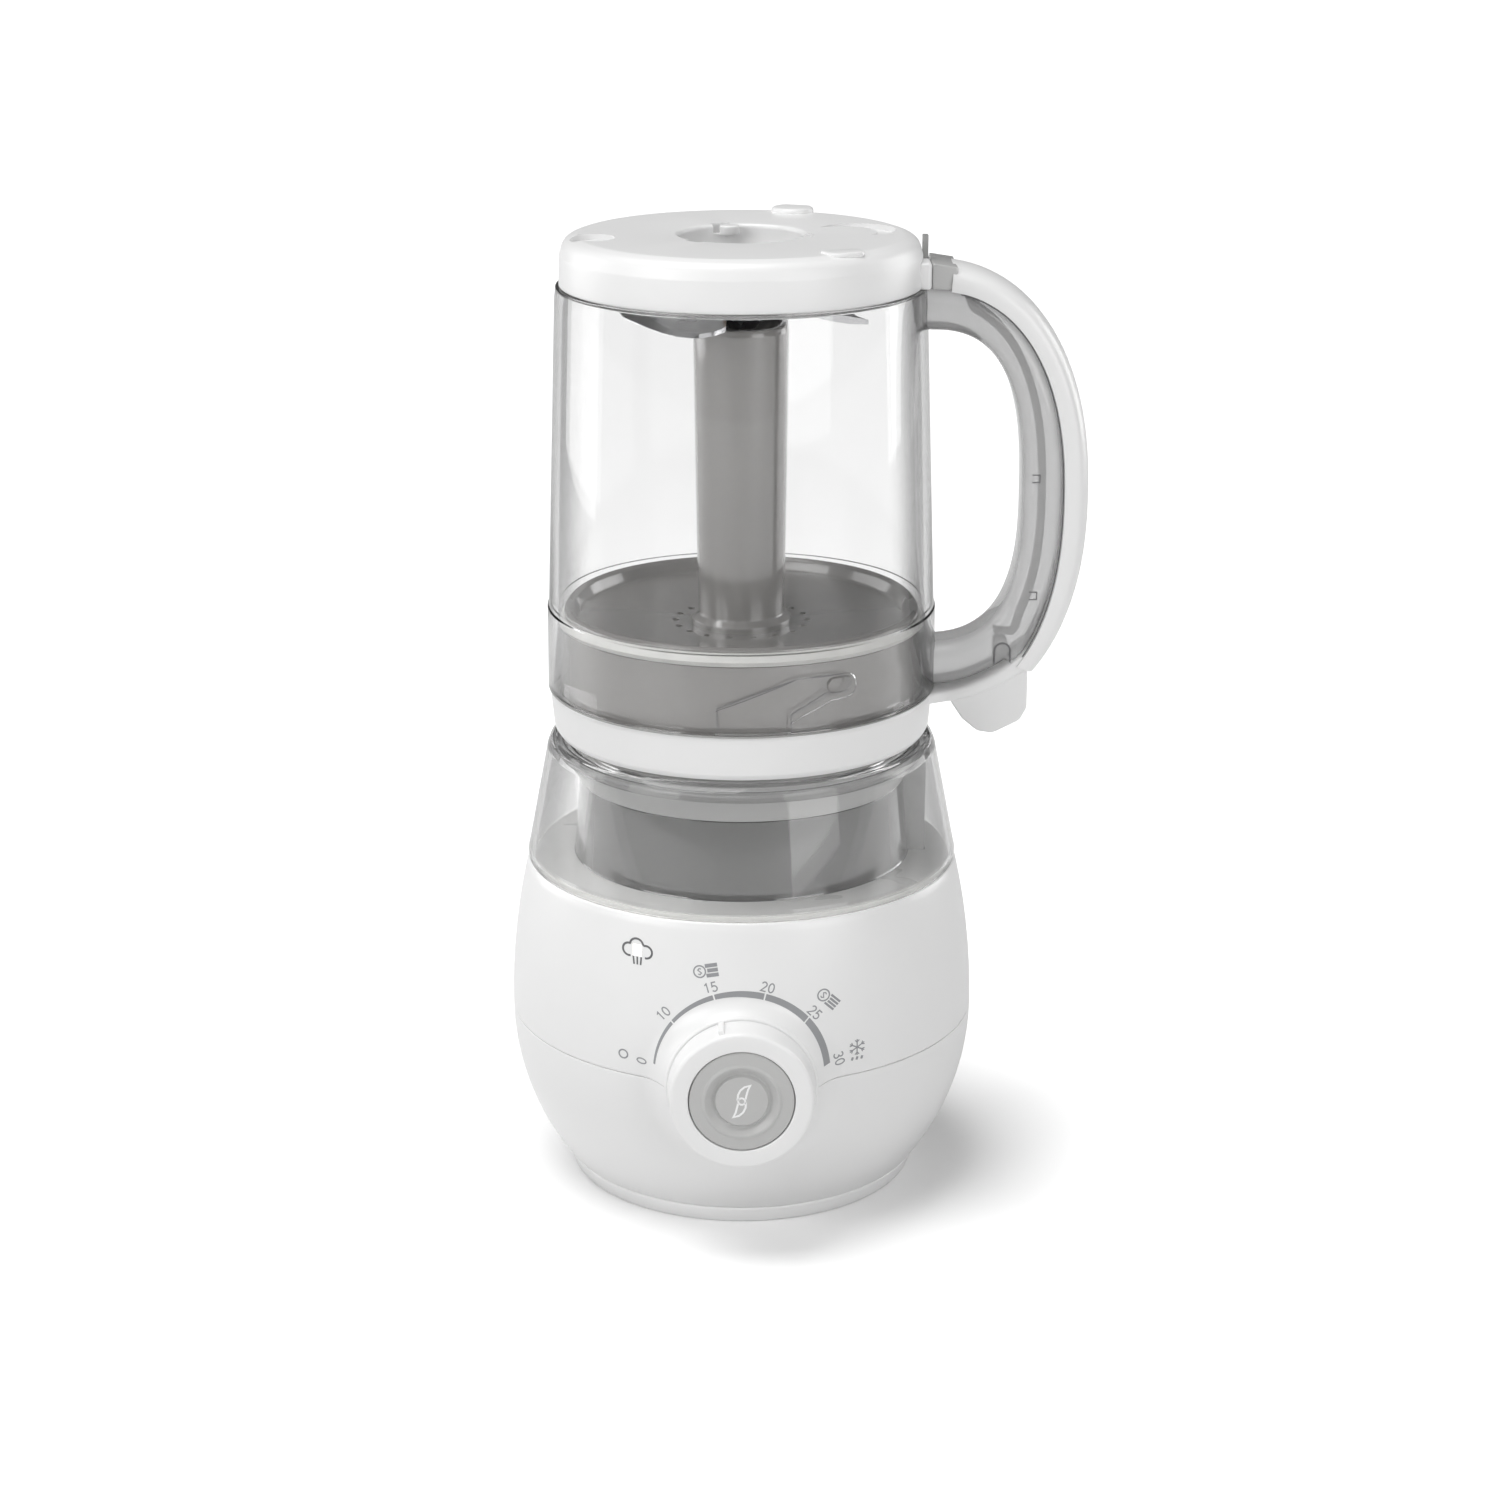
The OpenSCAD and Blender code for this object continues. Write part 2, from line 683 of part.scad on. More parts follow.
module handle_core() {
    w = handle_w - 2;
    color("white", 0.4) difference() {
        union() {
            handle_slab(concat([[54, 291.4]], seam_line(0), [for (x = [84:-4:60]) [x, arm_top(x) + 0.9]],
                [[54, 164.6], [54, 178.5]], back(gap_line(0)), [[54, 278.5]]), w);
            translate([58.5, -w / 2, 291]) cube([3.9, w, 8.8]);
        }
        jar_blank();
        rod_cavity(w - 4.4);
        rod_slot();
        rotate_extrude() polygon(arm_clear);
        turned_wedge([[post_x0 - 0.5, 150], [post_x1 + 0.6, 150], [post_x1 + 0.6, post_top + 0.5], [post_x0 - 0.5, post_top + 0.5]],
            -unlock_deg - 8, 3);
    }
}

// Everything that the jar's wall and its cap fill, so that the handle ends on their skin
module jar_blank() {
    lathe([[0, 150], [jar_r, 150], [jar_r, jar_z], [jar_at(collar_z) + 0.35, collar_z], [jar_at(collar_z), collar_z + 0.4],
        [jar_at(288), 288], [jar_neck_r - 0.3, cap_z - 0.4], [jar_neck_r - 0.3, 320], [0, 320]]);
}

// The hollow inside the handle where the rod slides
module rod_cavity(w) {
    handle_slab(concat([[62.5, 288.8]], d_line(84, -44, 40.4, 64, 66, 2.3, 30), [[86.5, 175.8], [78.8, 175.8]],
        back(d_line(76, -58, 33.6, 56, 50.5, 2.6, 30)), [[62.5, 281.6]]), w);
}

// The narrow slot that leads the rod from the hollow to the cap's lug
module rod_slot() {
    handle_slab([[54, 297.4], [68.2, 297.4], [75.2, 287], [75.2, 279], [68.4, 279.5], [63.8, 291.6], [54, 291.6]], 4.8);
}

module handle_grip() {
    color("white") difference() {
        handle_slab(concat([[62.6, 291.9], [62.6, 298.9]], grip_line(0), back(seam_line(-0.02))), handle_w);
        translate([50, -20, 280]) cube([12.6, 40, 30]);
        rod_slot();
        rotate_extrude() polygon(arm_clear);
    }
}

module jar_cap() {
    color("white") difference() {
        union() {
            lathe([[53.6, cap_z], [56.3, cap_z], [56.1, 300], [55.4, 304], [54.2, 306.2], [52.4, top_z],
                [hole_r + 0.6, top_z], [hole_r, top_z - 0.6], [hole_r, 299], [21, 299], [21, 296], [hole_r, 296],
                [hole_r, 289.2], [23.4, 289.2], [23.4, top_z - shell_t], [51, top_z - shell_t], [53.6, 302]]);
            difference() {
                translate([52, -13, cap_z]) cube([6.4, 26, 8.2]);
                cylinder(r = 55.6, h = 400);
            }
            intersection() {
                translate([16.5, 46.5, top_z - 2]) cylinder(r = 6.8, h = 4.4);
                cylinder(r = 54, h = 400);
            }
        }
        for (a = [-132, -12, 108]) rotate([0, 0, a]) translate([17, -3, top_z - 3]) cube([5.4, 6, 5]);
        difference() {
            translate([-45.2, -8.5, top_z - 1.8]) cylinder(r = 7, h = 9);
            cylinder(r = 37, h = 400);
        }
        difference() {
            translate([36, 8, top_z - 1.6]) cylinder(r = 12, h = 5);
            translate([31, 3, top_z - 5]) cylinder(r = 11, h = 12);
        }
        translate([pin_x - 1.2, -2.4, cap_z - 1]) cube([2.4, 4.8, 20]);
        rod_slot();
    }
}

module jar_gasket() {
    color("whitesmoke") translate([0, 0, 301]) tube(53.3, 50.8, 1);
}

// The C-shaped push rod inside the handle, with the pin that stands up beside the cap
module interlock_rod() {
    color("gainsboro") {
        handle_slab(concat(d_line(72, -36, 37.8, 63.2, 60, 2.4, 24), [[88.4, 182], [86.6, 179.9], [80.8, 179.9],
            [80.8, 181.6], [86, 181.6]], back(d_line(72, -36, 35.6, 60.8, 58, 2.4, 24))), 4);
        handle_slab([[64, 297], [66.6, 297], [73.6, 284.9], [71, 283.6], [65.2, 295], [64, 295]], 4);
        translate([pin_x - pin_t / 2, -2, 295]) cube([pin_t, 4, 11.9]);
        translate([pin_x - pin_t / 2, -2, 295]) cube([9, 4, 2]);
    }
}

// ---- Blade unit ----

module blade_carrier() {
    color("white") difference() {
        union() {
            translate([0, 0, 286]) cylinder(r = 27, h = 2.4);
            translate([0, 0, 286]) cylinder(r = hole_r - run, h = 15);
            for (a = [30:120:270]) rotate([0, 0, a]) intersection() {
                translate([15, -4, 296.4]) cube([6, 8, 2.2]);
                cylinder(r = 20.6, h = 400);
            }
        }
        translate([0, 0, 280]) cylinder(r = 6, h = 30);
        translate([0, 0, 291]) cylinder(r = 15.5, h = 20);
    }
}

module blade_seal() {
    color("gray") translate([0, 0, 288.4]) tube(23.4, 19.2, 0.6);
}

module blade_bush() {
    color("goldenrod") translate([0, 0, 286]) tube(6, 3 + run, 6);
}

// One arm of the blade: a crescent that reaches forward from the hub
module blade_arm() {
    linear_extrude(1.4) difference() {
        intersection() {
            translate([-14, -6]) circle(26);
            translate([-6, -20]) circle(34);
            translate([-60, -60]) square([60, 62]);
        }
        translate([-26, 16]) circle(16);
    }
}

module blade_rotor() {
    color("silver") {
        translate([0, 0, blade_z - 2]) cylinder(r = 3, h = 20);
        translate([0, 0, blade_z - 2]) cylinder(r = 7, h = 5.6);
        difference() {
            for (a = [0, 180]) rotate([0, 0, a]) translate([0, 0, blade_z]) blade_arm();
            translate([0, 0, 270]) cylinder(r = 7, h = 20);
        }
    }
}

module driven_coupling() {
    color("dimgray") difference() {
        translate([0, 0, 293]) cylinder(r = 13.5, h = 7);
        translate([0, 0, 290]) cylinder(r = 3, h = 9);
        translate([0, 0, 299]) cylinder(r = 9.2, h = 4);
        for (a = [0:60:300]) rotate([0, 0, a]) translate([7, -2, 296]) cube([5.4, 4, 8]);
    }
}

foot_ring();
rubber_feet();
lower_housing();
upper_housing();
housing_screws();
cord_gland();
tank_floor();
tank_gasket();
water_tank();
filler_spout();
filler_flap();
motor_tower();
jar_seat();
interlock_column();
interlock_plunger();
interlock_switch();
motor_mount();
motor_stator();
stator_windings();
lower_bracket();
upper_bracket();
carbon_brushes();
brush_holders();
motor_rotor();
motor_shaft();
motor_fan();
drive_coupling();
deck_bush();
boiler();
boiler_lid();
boiler_stand();
heating_element();
thermostat();
steam_pipe();
inlet_pipe();
steam_seal();
control_board();
timer_unit();
blend_switch();
light_guide();
timer_knob();
timer_shaft();
blend_button();
button_spring();
lid_base();
lid_plate();
steam_tube();
lid_seal();
lock_ring();
jar_wall();
handle_core();
handle_grip();
jar_cap();
jar_gasket();
interlock_rod();
blade_carrier();
blade_seal();
blade_bush();
blade_rotor();
driven_coupling();
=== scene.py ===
"""Looks of a steam-and-blend baby food maker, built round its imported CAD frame.

Outlines are in millimetres on the frame's own axes and turn into metres when a mesh is made.
-Y is the front with the dial, +X points to the jar's handle and +Z is up.
"""

import json
import math

import bmesh
import bpy
from mathutils import Matrix, Vector


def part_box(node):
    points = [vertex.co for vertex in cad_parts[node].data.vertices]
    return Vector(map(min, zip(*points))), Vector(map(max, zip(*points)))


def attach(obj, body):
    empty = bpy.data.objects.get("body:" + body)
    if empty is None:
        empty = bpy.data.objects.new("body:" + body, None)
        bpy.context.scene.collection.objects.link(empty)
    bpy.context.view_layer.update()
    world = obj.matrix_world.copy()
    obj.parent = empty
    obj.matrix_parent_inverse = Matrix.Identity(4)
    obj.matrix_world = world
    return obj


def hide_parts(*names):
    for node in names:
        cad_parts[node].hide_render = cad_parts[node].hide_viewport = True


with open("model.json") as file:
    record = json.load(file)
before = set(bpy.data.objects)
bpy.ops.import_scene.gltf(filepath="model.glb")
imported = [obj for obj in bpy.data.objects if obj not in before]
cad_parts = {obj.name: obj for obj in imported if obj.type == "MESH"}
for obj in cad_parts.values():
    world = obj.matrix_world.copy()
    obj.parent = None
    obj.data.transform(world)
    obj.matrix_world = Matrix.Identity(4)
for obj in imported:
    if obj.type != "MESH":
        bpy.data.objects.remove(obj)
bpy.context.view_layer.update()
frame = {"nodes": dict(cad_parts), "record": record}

M = 0.001  # metres in a millimetre
ROUND = 192  # steps round a turned piece


def low(node):
    """Lowest corner of a CAD node, in millimetres."""
    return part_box(node)[0] / M


def high(node):
    """Highest corner of a CAD node, in millimetres."""
    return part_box(node)[1] / M


# ---- Driving sizes, read from the frame ----

SEAM_Z = high("lower_housing").z
DECK_Z = high("upper_housing").z
FOOT_Z = high("foot_ring").z + 0.3
BODY_R = high("upper_housing").x
TANK_R = high("water_tank").x
TOWER_R = -low("motor_tower").x
TOWER_TOP = high("motor_tower").z
SEAT_Z = high("jar_seat").z
JAR_R = high("jar_wall").x
JAR_Z = low("jar_wall").z
CAP_Z = low("jar_cap").z + 2.7
TOP_Z = high("blade_carrier").z + 6.4
LID_Z = low("lid_base").z
LID_R = high("lid_plate").x + 2.5
RING_TOP = JAR_Z - 0.4
TUBE_TOP = high("steam_tube").z + 1.9
KNOB_FACE = -low("timer_knob").y
KNOB_R = high("timer_knob").x - 0.9
BUTTON_R = high("blend_button").x
GRIP_OUT = high("handle_grip").x
HANDLE_W = high("handle_grip").y * 2
BLADE_Z = low("blade_rotor").z + 2

# ---- Sizes that the frame's boxes don't show ----

SHELL_T = 2.6  # walls of the housing and the cap
LOWER_ARC = 81.7  # radii of the housing's upright curves below and above its seam
UPPER_ARC = 215
GLAND_Z = 18
GLAND_TURN = -30
SCREW_RING_R = 44
DISH = 0.65  # depth of the button's dish behind the knob's face
POINTER_TURN = -15.6
LUG_Z = 177.6
LUG_TURN = -58.4
DRAIN_RING_R = 21
COLLAR_Z = JAR_Z + 25.9  # step in the jar's outside
JAR_NECK_R = 57.6
JAR_T = 2.9
CAP_HOLE_R = 19.1
HANDLE_X = 58  # middle of the handle's D-shaped curves
HANDLE_Z = 225
CLIP_HEIGHTS = (232.7, 195)


def body_at(z):
    """Outer radius of the white housing at a height."""
    arc = LOWER_ARC if z < SEAM_Z else UPPER_ARC
    return BODY_R - arc + math.sqrt(arc**2 - (SEAM_Z - z) ** 2)


def jar_at(z):
    """Outer radius of the jar above its collar."""
    return JAR_NECK_R + (CAP_Z - z) * (JAR_R - JAR_NECK_R - 0.6) / (CAP_Z - COLLAR_Z)


# ---- Mesh helpers ----

def new_piece(name, vertices, faces):
    """A mesh object from millimetre points, welded and with its faces turned outwards."""
    mesh = bpy.data.meshes.new(name)
    mesh.from_pydata([Vector(v) * M for v in vertices], [], faces)
    work = bmesh.new()
    work.from_mesh(mesh)
    bmesh.ops.remove_doubles(work, verts=work.verts, dist=1e-7)
    bmesh.ops.recalc_face_normals(work, faces=work.faces)
    work.to_mesh(mesh)
    work.free()
    piece = bpy.data.objects.new(name, mesh)
    bpy.context.scene.collection.objects.link(piece)
    return piece


def rounded(points, steps=5):
    """A closed outline whose corners (a, b, radius) are rounded; a corner (a, b) stays sharp."""
    out = []
    count = len(points)
    for i, point in enumerate(points):
        corner = Vector(point[:2])
        radius = point[2] if len(point) > 2 else 0
        before = Vector(points[i - 1][:2]) - corner
        after = Vector(points[(i + 1) % count][:2]) - corner
        half = before.angle(after) / 2
        if radius <= 0 or half > 1.56:
            out.append(tuple(corner))
            continue
        back = min(radius / math.tan(half), before.length * 0.48, after.length * 0.48)
        radius = back * math.tan(half)
        centre = corner + (before.normalized() + after.normalized()).normalized() * radius / math.sin(half)
        first = corner + before.normalized() * back - centre
        last = corner + after.normalized() * back - centre
        turn = math.atan2(first.x * last.y - first.y * last.x, first.dot(last))
        for k in range(steps + 1):
            out.append(tuple(centre + Matrix.Rotation(turn * k / steps, 2) @ first))
    return out


def turned(name, outline, steps=ROUND, angles=None, push=None, on_knob=False):
    """A solid of revolution of a closed (radius, height) outline, about Z or about the knob's axis."""
    angles = angles or [math.tau * k / steps for k in range(steps)]
    size = len(outline)
    vertices = []
    for angle in angles:
        for radius, height in outline:
            x, y, z = radius * math.cos(angle), radius * math.sin(angle), height
            if on_knob:
                x, y, z = x, -height, SEAM_Z + y
            vertices.append(push(x, y, z) if push else (x, y, z))
    faces = []
    for k in range(len(angles)):
        ahead = (k + 1) % len(angles)
        for i in range(size):
            nxt = (i + 1) % size
            if outline[i][0] < 1e-6 and outline[nxt][0] < 1e-6:
                continue
            faces.append([k * size + i, ahead * size + i, ahead * size + nxt, k * size + nxt])
    return new_piece(name, vertices, faces)


def loft(name, rings):
    """A skin over closed rings of equal count, shut at both ends."""
    size = len(rings[0])
    vertices = [point for ring in rings for point in ring]
    faces = []
    for k in range(len(rings) - 1):
        a, b = k * size, (k + 1) * size
        faces.extend([a + i, a + (i + 1) % size, b + (i + 1) % size, b + i] for i in range(size))
    faces.append(list(range(size))[::-1])
    faces.append([(len(rings) - 1) * size + i for i in range(size)])
    return new_piece(name, vertices, faces)


def gathered(pieces):
    """The meshes of several pieces as one piece; the pieces after the first are used up."""
    work = bmesh.new()
    work.from_mesh(pieces[0].data)
    for other in pieces[1:]:
        work.from_mesh(other.data)
        bpy.data.objects.remove(other)
    work.to_mesh(pieces[0].data)
    work.free()
    return pieces[0]


def moved(piece, spot=(0, 0, 0), turn=0, axis="Z"):
    """Turns a piece's mesh by turn degrees about an axis and then shifts it by spot."""
    rotation = Matrix.Rotation(math.radians(turn), 4, axis)
    piece.data.transform(Matrix.Translation(Vector(spot) * M) @ rotation)
    return piece


def prism(name, outline, near, far, plane="XZ"):
    """A straight extrusion of an outline: along Y for plane XZ, along Z for plane XY."""
    rings = []
    for depth in (near, far):
        rings.append([(a, depth, b) if plane == "XZ" else (a, b, depth) for a, b in outline])
    return loft(name, rings)


def disc(x, y, radius, steps=48):
    """A circle as an outline."""
    return [(x + radius * math.cos(math.tau * k / steps), y + radius * math.sin(math.tau * k / steps))
            for k in range(steps)]


def pins(ring_r, pin_r, turns, near, far, steps):
    """Upright pins on a circle round Z, as one piece for cutting holes."""
    found = []
    for turn in turns:
        x, y = ring_r * math.cos(math.radians(turn)), ring_r * math.sin(math.radians(turn))
        found.append(prism("pin", disc(x, y, pin_r, steps), near, far, "XY"))
    return gathered(found)


def applied(piece):
    """Makes what a piece's modifiers do part of its mesh."""
    bpy.context.view_layer.update()
    made = bpy.data.meshes.new_from_object(piece.evaluated_get(bpy.context.evaluated_depsgraph_get()))
    piece.modifiers.clear()
    piece.data = made
    return piece


def combine(piece, other, operation="DIFFERENCE"):
    """Cuts other from piece, or keeps what they share; other is used up."""
    change = piece.modifiers.new("change", "BOOLEAN")
    change.operation = operation
    change.solver = "EXACT"
    change.object = other
    applied(piece)
    bpy.data.objects.remove(other)
    return piece


def bevelled(piece, width, segments=3, angle=40):
    """Rounds a piece's sharp edges."""
    edge = piece.modifiers.new("edge", "BEVEL")
    edge.width = width * M
    edge.segments = segments
    edge.limit_method = "ANGLE"
    edge.angle_limit = math.radians(angle)
    edge.harden_normals = False
    return applied(piece)


def finish(piece, body, slot, material, *nodes, angle=32):
    """Shades a piece, gives it its material and body, and hides the CAD nodes it stands for."""
    piece.data.shade_smooth()
    piece.data.set_sharp_from_angle(angle=math.radians(angle))
    piece.data.materials.clear()
    piece.data.materials.append(material)
    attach(piece, body)
    if nodes:
        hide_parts(*nodes)
    return piece


# ---- Materials ----

class Shade:
    """A Principled material with small helpers for its node tree."""

    def __init__(self, name, roughness, metallic=0.0, ior=1.5):
        self.material = bpy.data.materials.new(name)
        self.material.use_nodes = True
        self.nodes = self.material.node_tree.nodes
        self.links = self.material.node_tree.links
        self.shader = self.nodes["Principled BSDF"]
        self.output = self.nodes["Material Output"]
        self.shader.inputs["Roughness"].default_value = roughness
        self.shader.inputs["Metallic"].default_value = metallic
        self.shader.inputs["IOR"].default_value = ior
        self.coords = self.nodes.new("ShaderNodeTexCoord").outputs["Object"]

    def noise(self, scale, detail=3.0, stretch=(1, 1, 1)):
        place = self.nodes.new("ShaderNodeMapping")
        place.inputs["Scale"].default_value = stretch
        self.links.new(self.coords, place.inputs["Vector"])
        cloud = self.nodes.new("ShaderNodeTexNoise")
        cloud.inputs["Scale"].default_value = scale
        cloud.inputs["Detail"].default_value = detail
        self.links.new(place.outputs["Vector"], cloud.inputs["Vector"])
        return cloud.outputs["Fac"]

    def waves(self, scale, kind="BANDS", distortion=0.0):
        """Bands stacked along Z, or rings round it."""
        wave = self.nodes.new("ShaderNodeTexWave")
        wave.wave_type = kind
        wave.bands_direction = "Z"
        wave.rings_direction = "Z"
        wave.inputs["Scale"].default_value = scale
        wave.inputs["Distortion"].default_value = distortion
        self.links.new(self.coords, wave.inputs["Vector"])
        return wave.outputs["Fac"]

    def between(self, factor, dark, light, start=0.3, end=0.7):
        """A colour that runs from dark to light with a factor."""
        ramp = self.nodes.new("ShaderNodeValToRGB")
        ramp.color_ramp.elements[0].position = start
        ramp.color_ramp.elements[0].color = (*dark, 1)
        ramp.color_ramp.elements[1].position = end
        ramp.color_ramp.elements[1].color = (*light, 1)
        self.links.new(factor, ramp.inputs["Fac"])
        return ramp.outputs["Color"]

    def colour(self, socket):
        self.links.new(socket, self.shader.inputs["Base Color"])

    def spread(self, factor, least, most, start=0.0, end=1.0):
        """A number that runs from least to most while the factor runs from start to end."""
        reach = self.nodes.new("ShaderNodeMapRange")
        reach.inputs["From Min"].default_value = start
        reach.inputs["From Max"].default_value = end
        reach.inputs["To Min"].default_value = least
        reach.inputs["To Max"].default_value = most
        self.links.new(factor, reach.inputs["Value"])
        return reach.outputs["Result"]

    def rough(self, factor, least, most):
        self.links.new(self.spread(factor, least, most), self.shader.inputs["Roughness"])

    def bump(self, factor, depth, strength=1.0):
        """Raises the surface by up to depth millimetres."""
        relief = self.nodes.new("ShaderNodeBump")
        relief.inputs["Distance"].default_value = depth * M
        relief.inputs["Strength"].default_value = strength
        self.links.new(factor, relief.inputs["Height"])
        self.links.new(relief.outputs["Normal"], self.shader.inputs["Normal"])


def shifted(colour, amount):
    return tuple(max(0.0, min(1.0, c * amount)) for c in colour)


def plastic(name, colour, roughness, grain=0.012, variation=0.025, coat=0.0):
    """Moulded plastic: a fine grain, faint flow marks in its colour and an uneven gloss."""
    shade = Shade(name, roughness)
    shade.colour(shade.between(shade.noise(22, 1), shifted(colour, 1 - variation), colour, 0.2, 0.8))
    shade.rough(shade.noise(35, 2), roughness - 0.03, roughness + 0.04)
    shade.bump(shade.noise(1800, 2), grain, 0.6)
    shade.shader.inputs["Coat Weight"].default_value = coat
    shade.shader.inputs["Coat IOR"].default_value = 1.7
    return shade.material


def clear(name, tint, edge, start, ior, gloss=0.25, through=1.0, coat=0.0):
    """Clear plastic, from a gray tint to a darker edge where it is seen edge-on; lets the lamps through."""
    roughness = 0.015
    shade = Shade(name, roughness, ior=ior)
    facing = shade.nodes.new("ShaderNodeLayerWeight")
    facing.inputs["Blend"].default_value = 0.7
    shade.colour(shade.between(facing.outputs["Facing"], (tint,) * 3, (edge,) * 3, start, 1.0))
    shade.rough(shade.noise(45, 4), roughness, roughness + 0.03)
    shade.shader.inputs["Transmission Weight"].default_value = through
    shade.shader.inputs["Specular IOR Level"].default_value = gloss
    shade.shader.inputs["Coat Weight"].default_value = coat
    path = shade.nodes.new("ShaderNodeLightPath")
    open_light = shade.nodes.new("ShaderNodeBsdfTransparent")
    open_light.inputs["Color"].default_value = (*shifted((tint,) * 3, 0.97), 1)
    mix = shade.nodes.new("ShaderNodeMixShader")
    shade.links.new(path.outputs["Is Shadow Ray"], mix.inputs["Fac"])
    shade.links.new(shade.shader.outputs["BSDF"], mix.inputs[1])
    shade.links.new(open_light.outputs["BSDF"], mix.inputs[2])
    shade.links.new(mix.outputs["Shader"], shade.output.inputs["Surface"])
    return shade.material


def metal(name, colour, roughness, stretch=(1, 1, 30), grain=0.006):
    """Ground or cast metal with fine lines along one direction."""
    shade = Shade(name, roughness, metallic=1.0)
    lines = shade.noise(700, 4, stretch)
    shade.colour(shade.between(lines, shifted(colour, 0.86), colour))
    shade.rough(shade.noise(90, 4), roughness - 0.08, roughness + 0.12)
    shade.bump(lines, grain, 0.5)
    return shade.material


def rubber(name, colour, roughness=0.62):
    """Soft rubber with a powdery, slightly mottled face."""
    shade = Shade(name, roughness)
    shade.colour(shade.between(shade.noise(120, 5), shifted(colour, 0.9), colour))
    shade.rough(shade.noise(220, 4), roughness - 0.08, roughness + 0.1)
    shade.bump(shade.noise(2600, 3), 0.02, 0.7)
    return shade.material


def laminations(name, colour):
    """Thin steel sheets stacked along Z."""
    shade = Shade(name, 0.42, metallic=0.85)
    sheets = shade.waves(320)
    shade.colour(shade.between(sheets, shifted(colour, 0.55), colour, 0.1, 0.6))
    shade.rough(shade.noise(150, 4), 0.34, 0.55)
    shade.bump(sheets, 0.08)
    return shade.material


def windings(name, colour):
    """Turns of enamelled copper wire laid side by side round the axis."""
    shade = Shade(name, 0.25, metallic=0.9)
    wires = shade.waves(260, "RINGS", 0.6)
    shade.colour(shade.between(wires, shifted(colour, 0.35), colour, 0.15, 0.75))
    shade.rough(shade.noise(110, 3), 0.2, 0.36)
    shade.bump(wires, 0.3)
    return shade.material


def circuit(name, colour):
    """Green solder mask over a web of copper tracks."""
    shade = Shade(name, 0.35)
    cells = shade.nodes.new("ShaderNodeTexVoronoi")
    cells.feature = "DISTANCE_TO_EDGE"
    cells.inputs["Scale"].default_value = 260
    shade.links.new(shade.coords, cells.inputs["Vector"])
    shade.colour(shade.between(cells.outputs["Distance"], shifted(colour, 1.7), colour, 0.03, 0.06))
    shade.rough(shade.noise(200, 3), 0.28, 0.45)
    shade.bump(cells.outputs["Distance"], 0.04)
    return shade.material


def lit(name, colour, glow):
    """A small window with a lamp behind it."""
    shade = Shade(name, 0.35)
    shade.colour(shade.between(shade.noise(400, 3), shifted(colour, 0.96), colour))
    shade.shader.inputs["Emission Color"].default_value = (*colour, 1)
    shade.shader.inputs["Emission Strength"].default_value = glow
    return shade.material


WHITE = plastic("white_satin", (0.83, 0.83, 0.828), 0.3, variation=0.008)
# The foot ring's white is lighter than the body's, though it is the same plastic: painted light to offset the
# body's shadow on it.
FOOT_WHITE_PAINTED_LIT = plastic("white_foot_painted_lit", (0.93, 0.93, 0.928), 0.35, variation=0.008)
CAP_WHITE = plastic("white_cap", (0.86, 0.86, 0.858), 0.34, variation=0.008)
WARM_GRAY = plastic("warm_gray", (0.205, 0.199, 0.191), 0.24, coat=0.9)
TOWER_GRAY = plastic("tower_gray", (0.1, 0.1, 0.098), 0.2, coat=0.9)
# The tank's floor is the tower's gray plastic, given a much lighter colour than the tower: painted light
# falling on it from above.
FLOOR_GRAY_PAINTED_LIT = plastic("tank_floor_painted_lit_gray", (0.56, 0.56, 0.553), 0.28, coat=0.3)
BLOCK_GRAY = plastic("block_gray", (0.5, 0.5, 0.495), 0.25, coat=0.5)
ROD_GRAY = plastic("rod_gray", (0.34, 0.34, 0.335), 0.35)
PALE = plastic("pale_gray", (0.36, 0.36, 0.356), 0.3)
BUTTON = plastic("button_gray", (0.5, 0.5, 0.494), 0.36)
DARK = plastic("dark_moulding", (0.035, 0.035, 0.038), 0.42, grain=0.03)
PRINT = plastic("print_gray", (0.30, 0.305, 0.315), 0.5, grain=0.004)
PRINT_DARK = plastic("print_dark", (0.13, 0.13, 0.135), 0.5, grain=0.004)
PRINT_WHITE = plastic("print_white", (0.9, 0.9, 0.9), 0.45, grain=0.004)
JAR_CLEAR = clear("clear_jar", 0.85, 0.05, 0.63, 1.3, 0.1)
TANK_CLEAR = clear("clear_tank", 0.92, 0.08, 0.5, 1.32)
HANDLE_CLEAR = clear("clear_handle", 0.6, 0.4, 0.5, 1.06, 0.25, 0.6, 0.6)
SILICONE = rubber("silicone", (0.66, 0.66, 0.64), 0.5)
RUBBER = rubber("dark_rubber", (0.06, 0.06, 0.062))
STEEL = metal("ground_steel", (0.62, 0.63, 0.64), 0.26)
BLADE_STEEL = metal("blade_steel", (0.66, 0.66, 0.67), 0.22, (1, 25, 1))
ALUMINIUM = metal("cast_aluminium", (0.68, 0.68, 0.69), 0.42, (1, 1, 1), 0.03)
BRONZE = metal("sintered_bronze", (0.62, 0.42, 0.2), 0.4, (1, 1, 1), 0.02)
LAMINATION = laminations("laminations", (0.34, 0.36, 0.4))
COPPER = windings("copper_wire", (0.78, 0.36, 0.16))
BOARD = circuit("circuit_board", (0.012, 0.13, 0.05))
GLOW = lit("lit_window", (1.0, 0.97, 0.88), 1.2)

BY_SLOT = {
    "white_plastic": WHITE, "clear_plastic": TANK_CLEAR, "gray_plastic": WARM_GRAY, "pale_plastic": PALE,
    "button_plastic": BUTTON, "dark_plastic": DARK, "silicone": SILICONE, "dark_rubber": RUBBER,
    "steel": STEEL, "lamination": LAMINATION, "aluminium": ALUMINIUM, "copper": COPPER,
    "bronze": BRONZE, "board": BOARD,
}


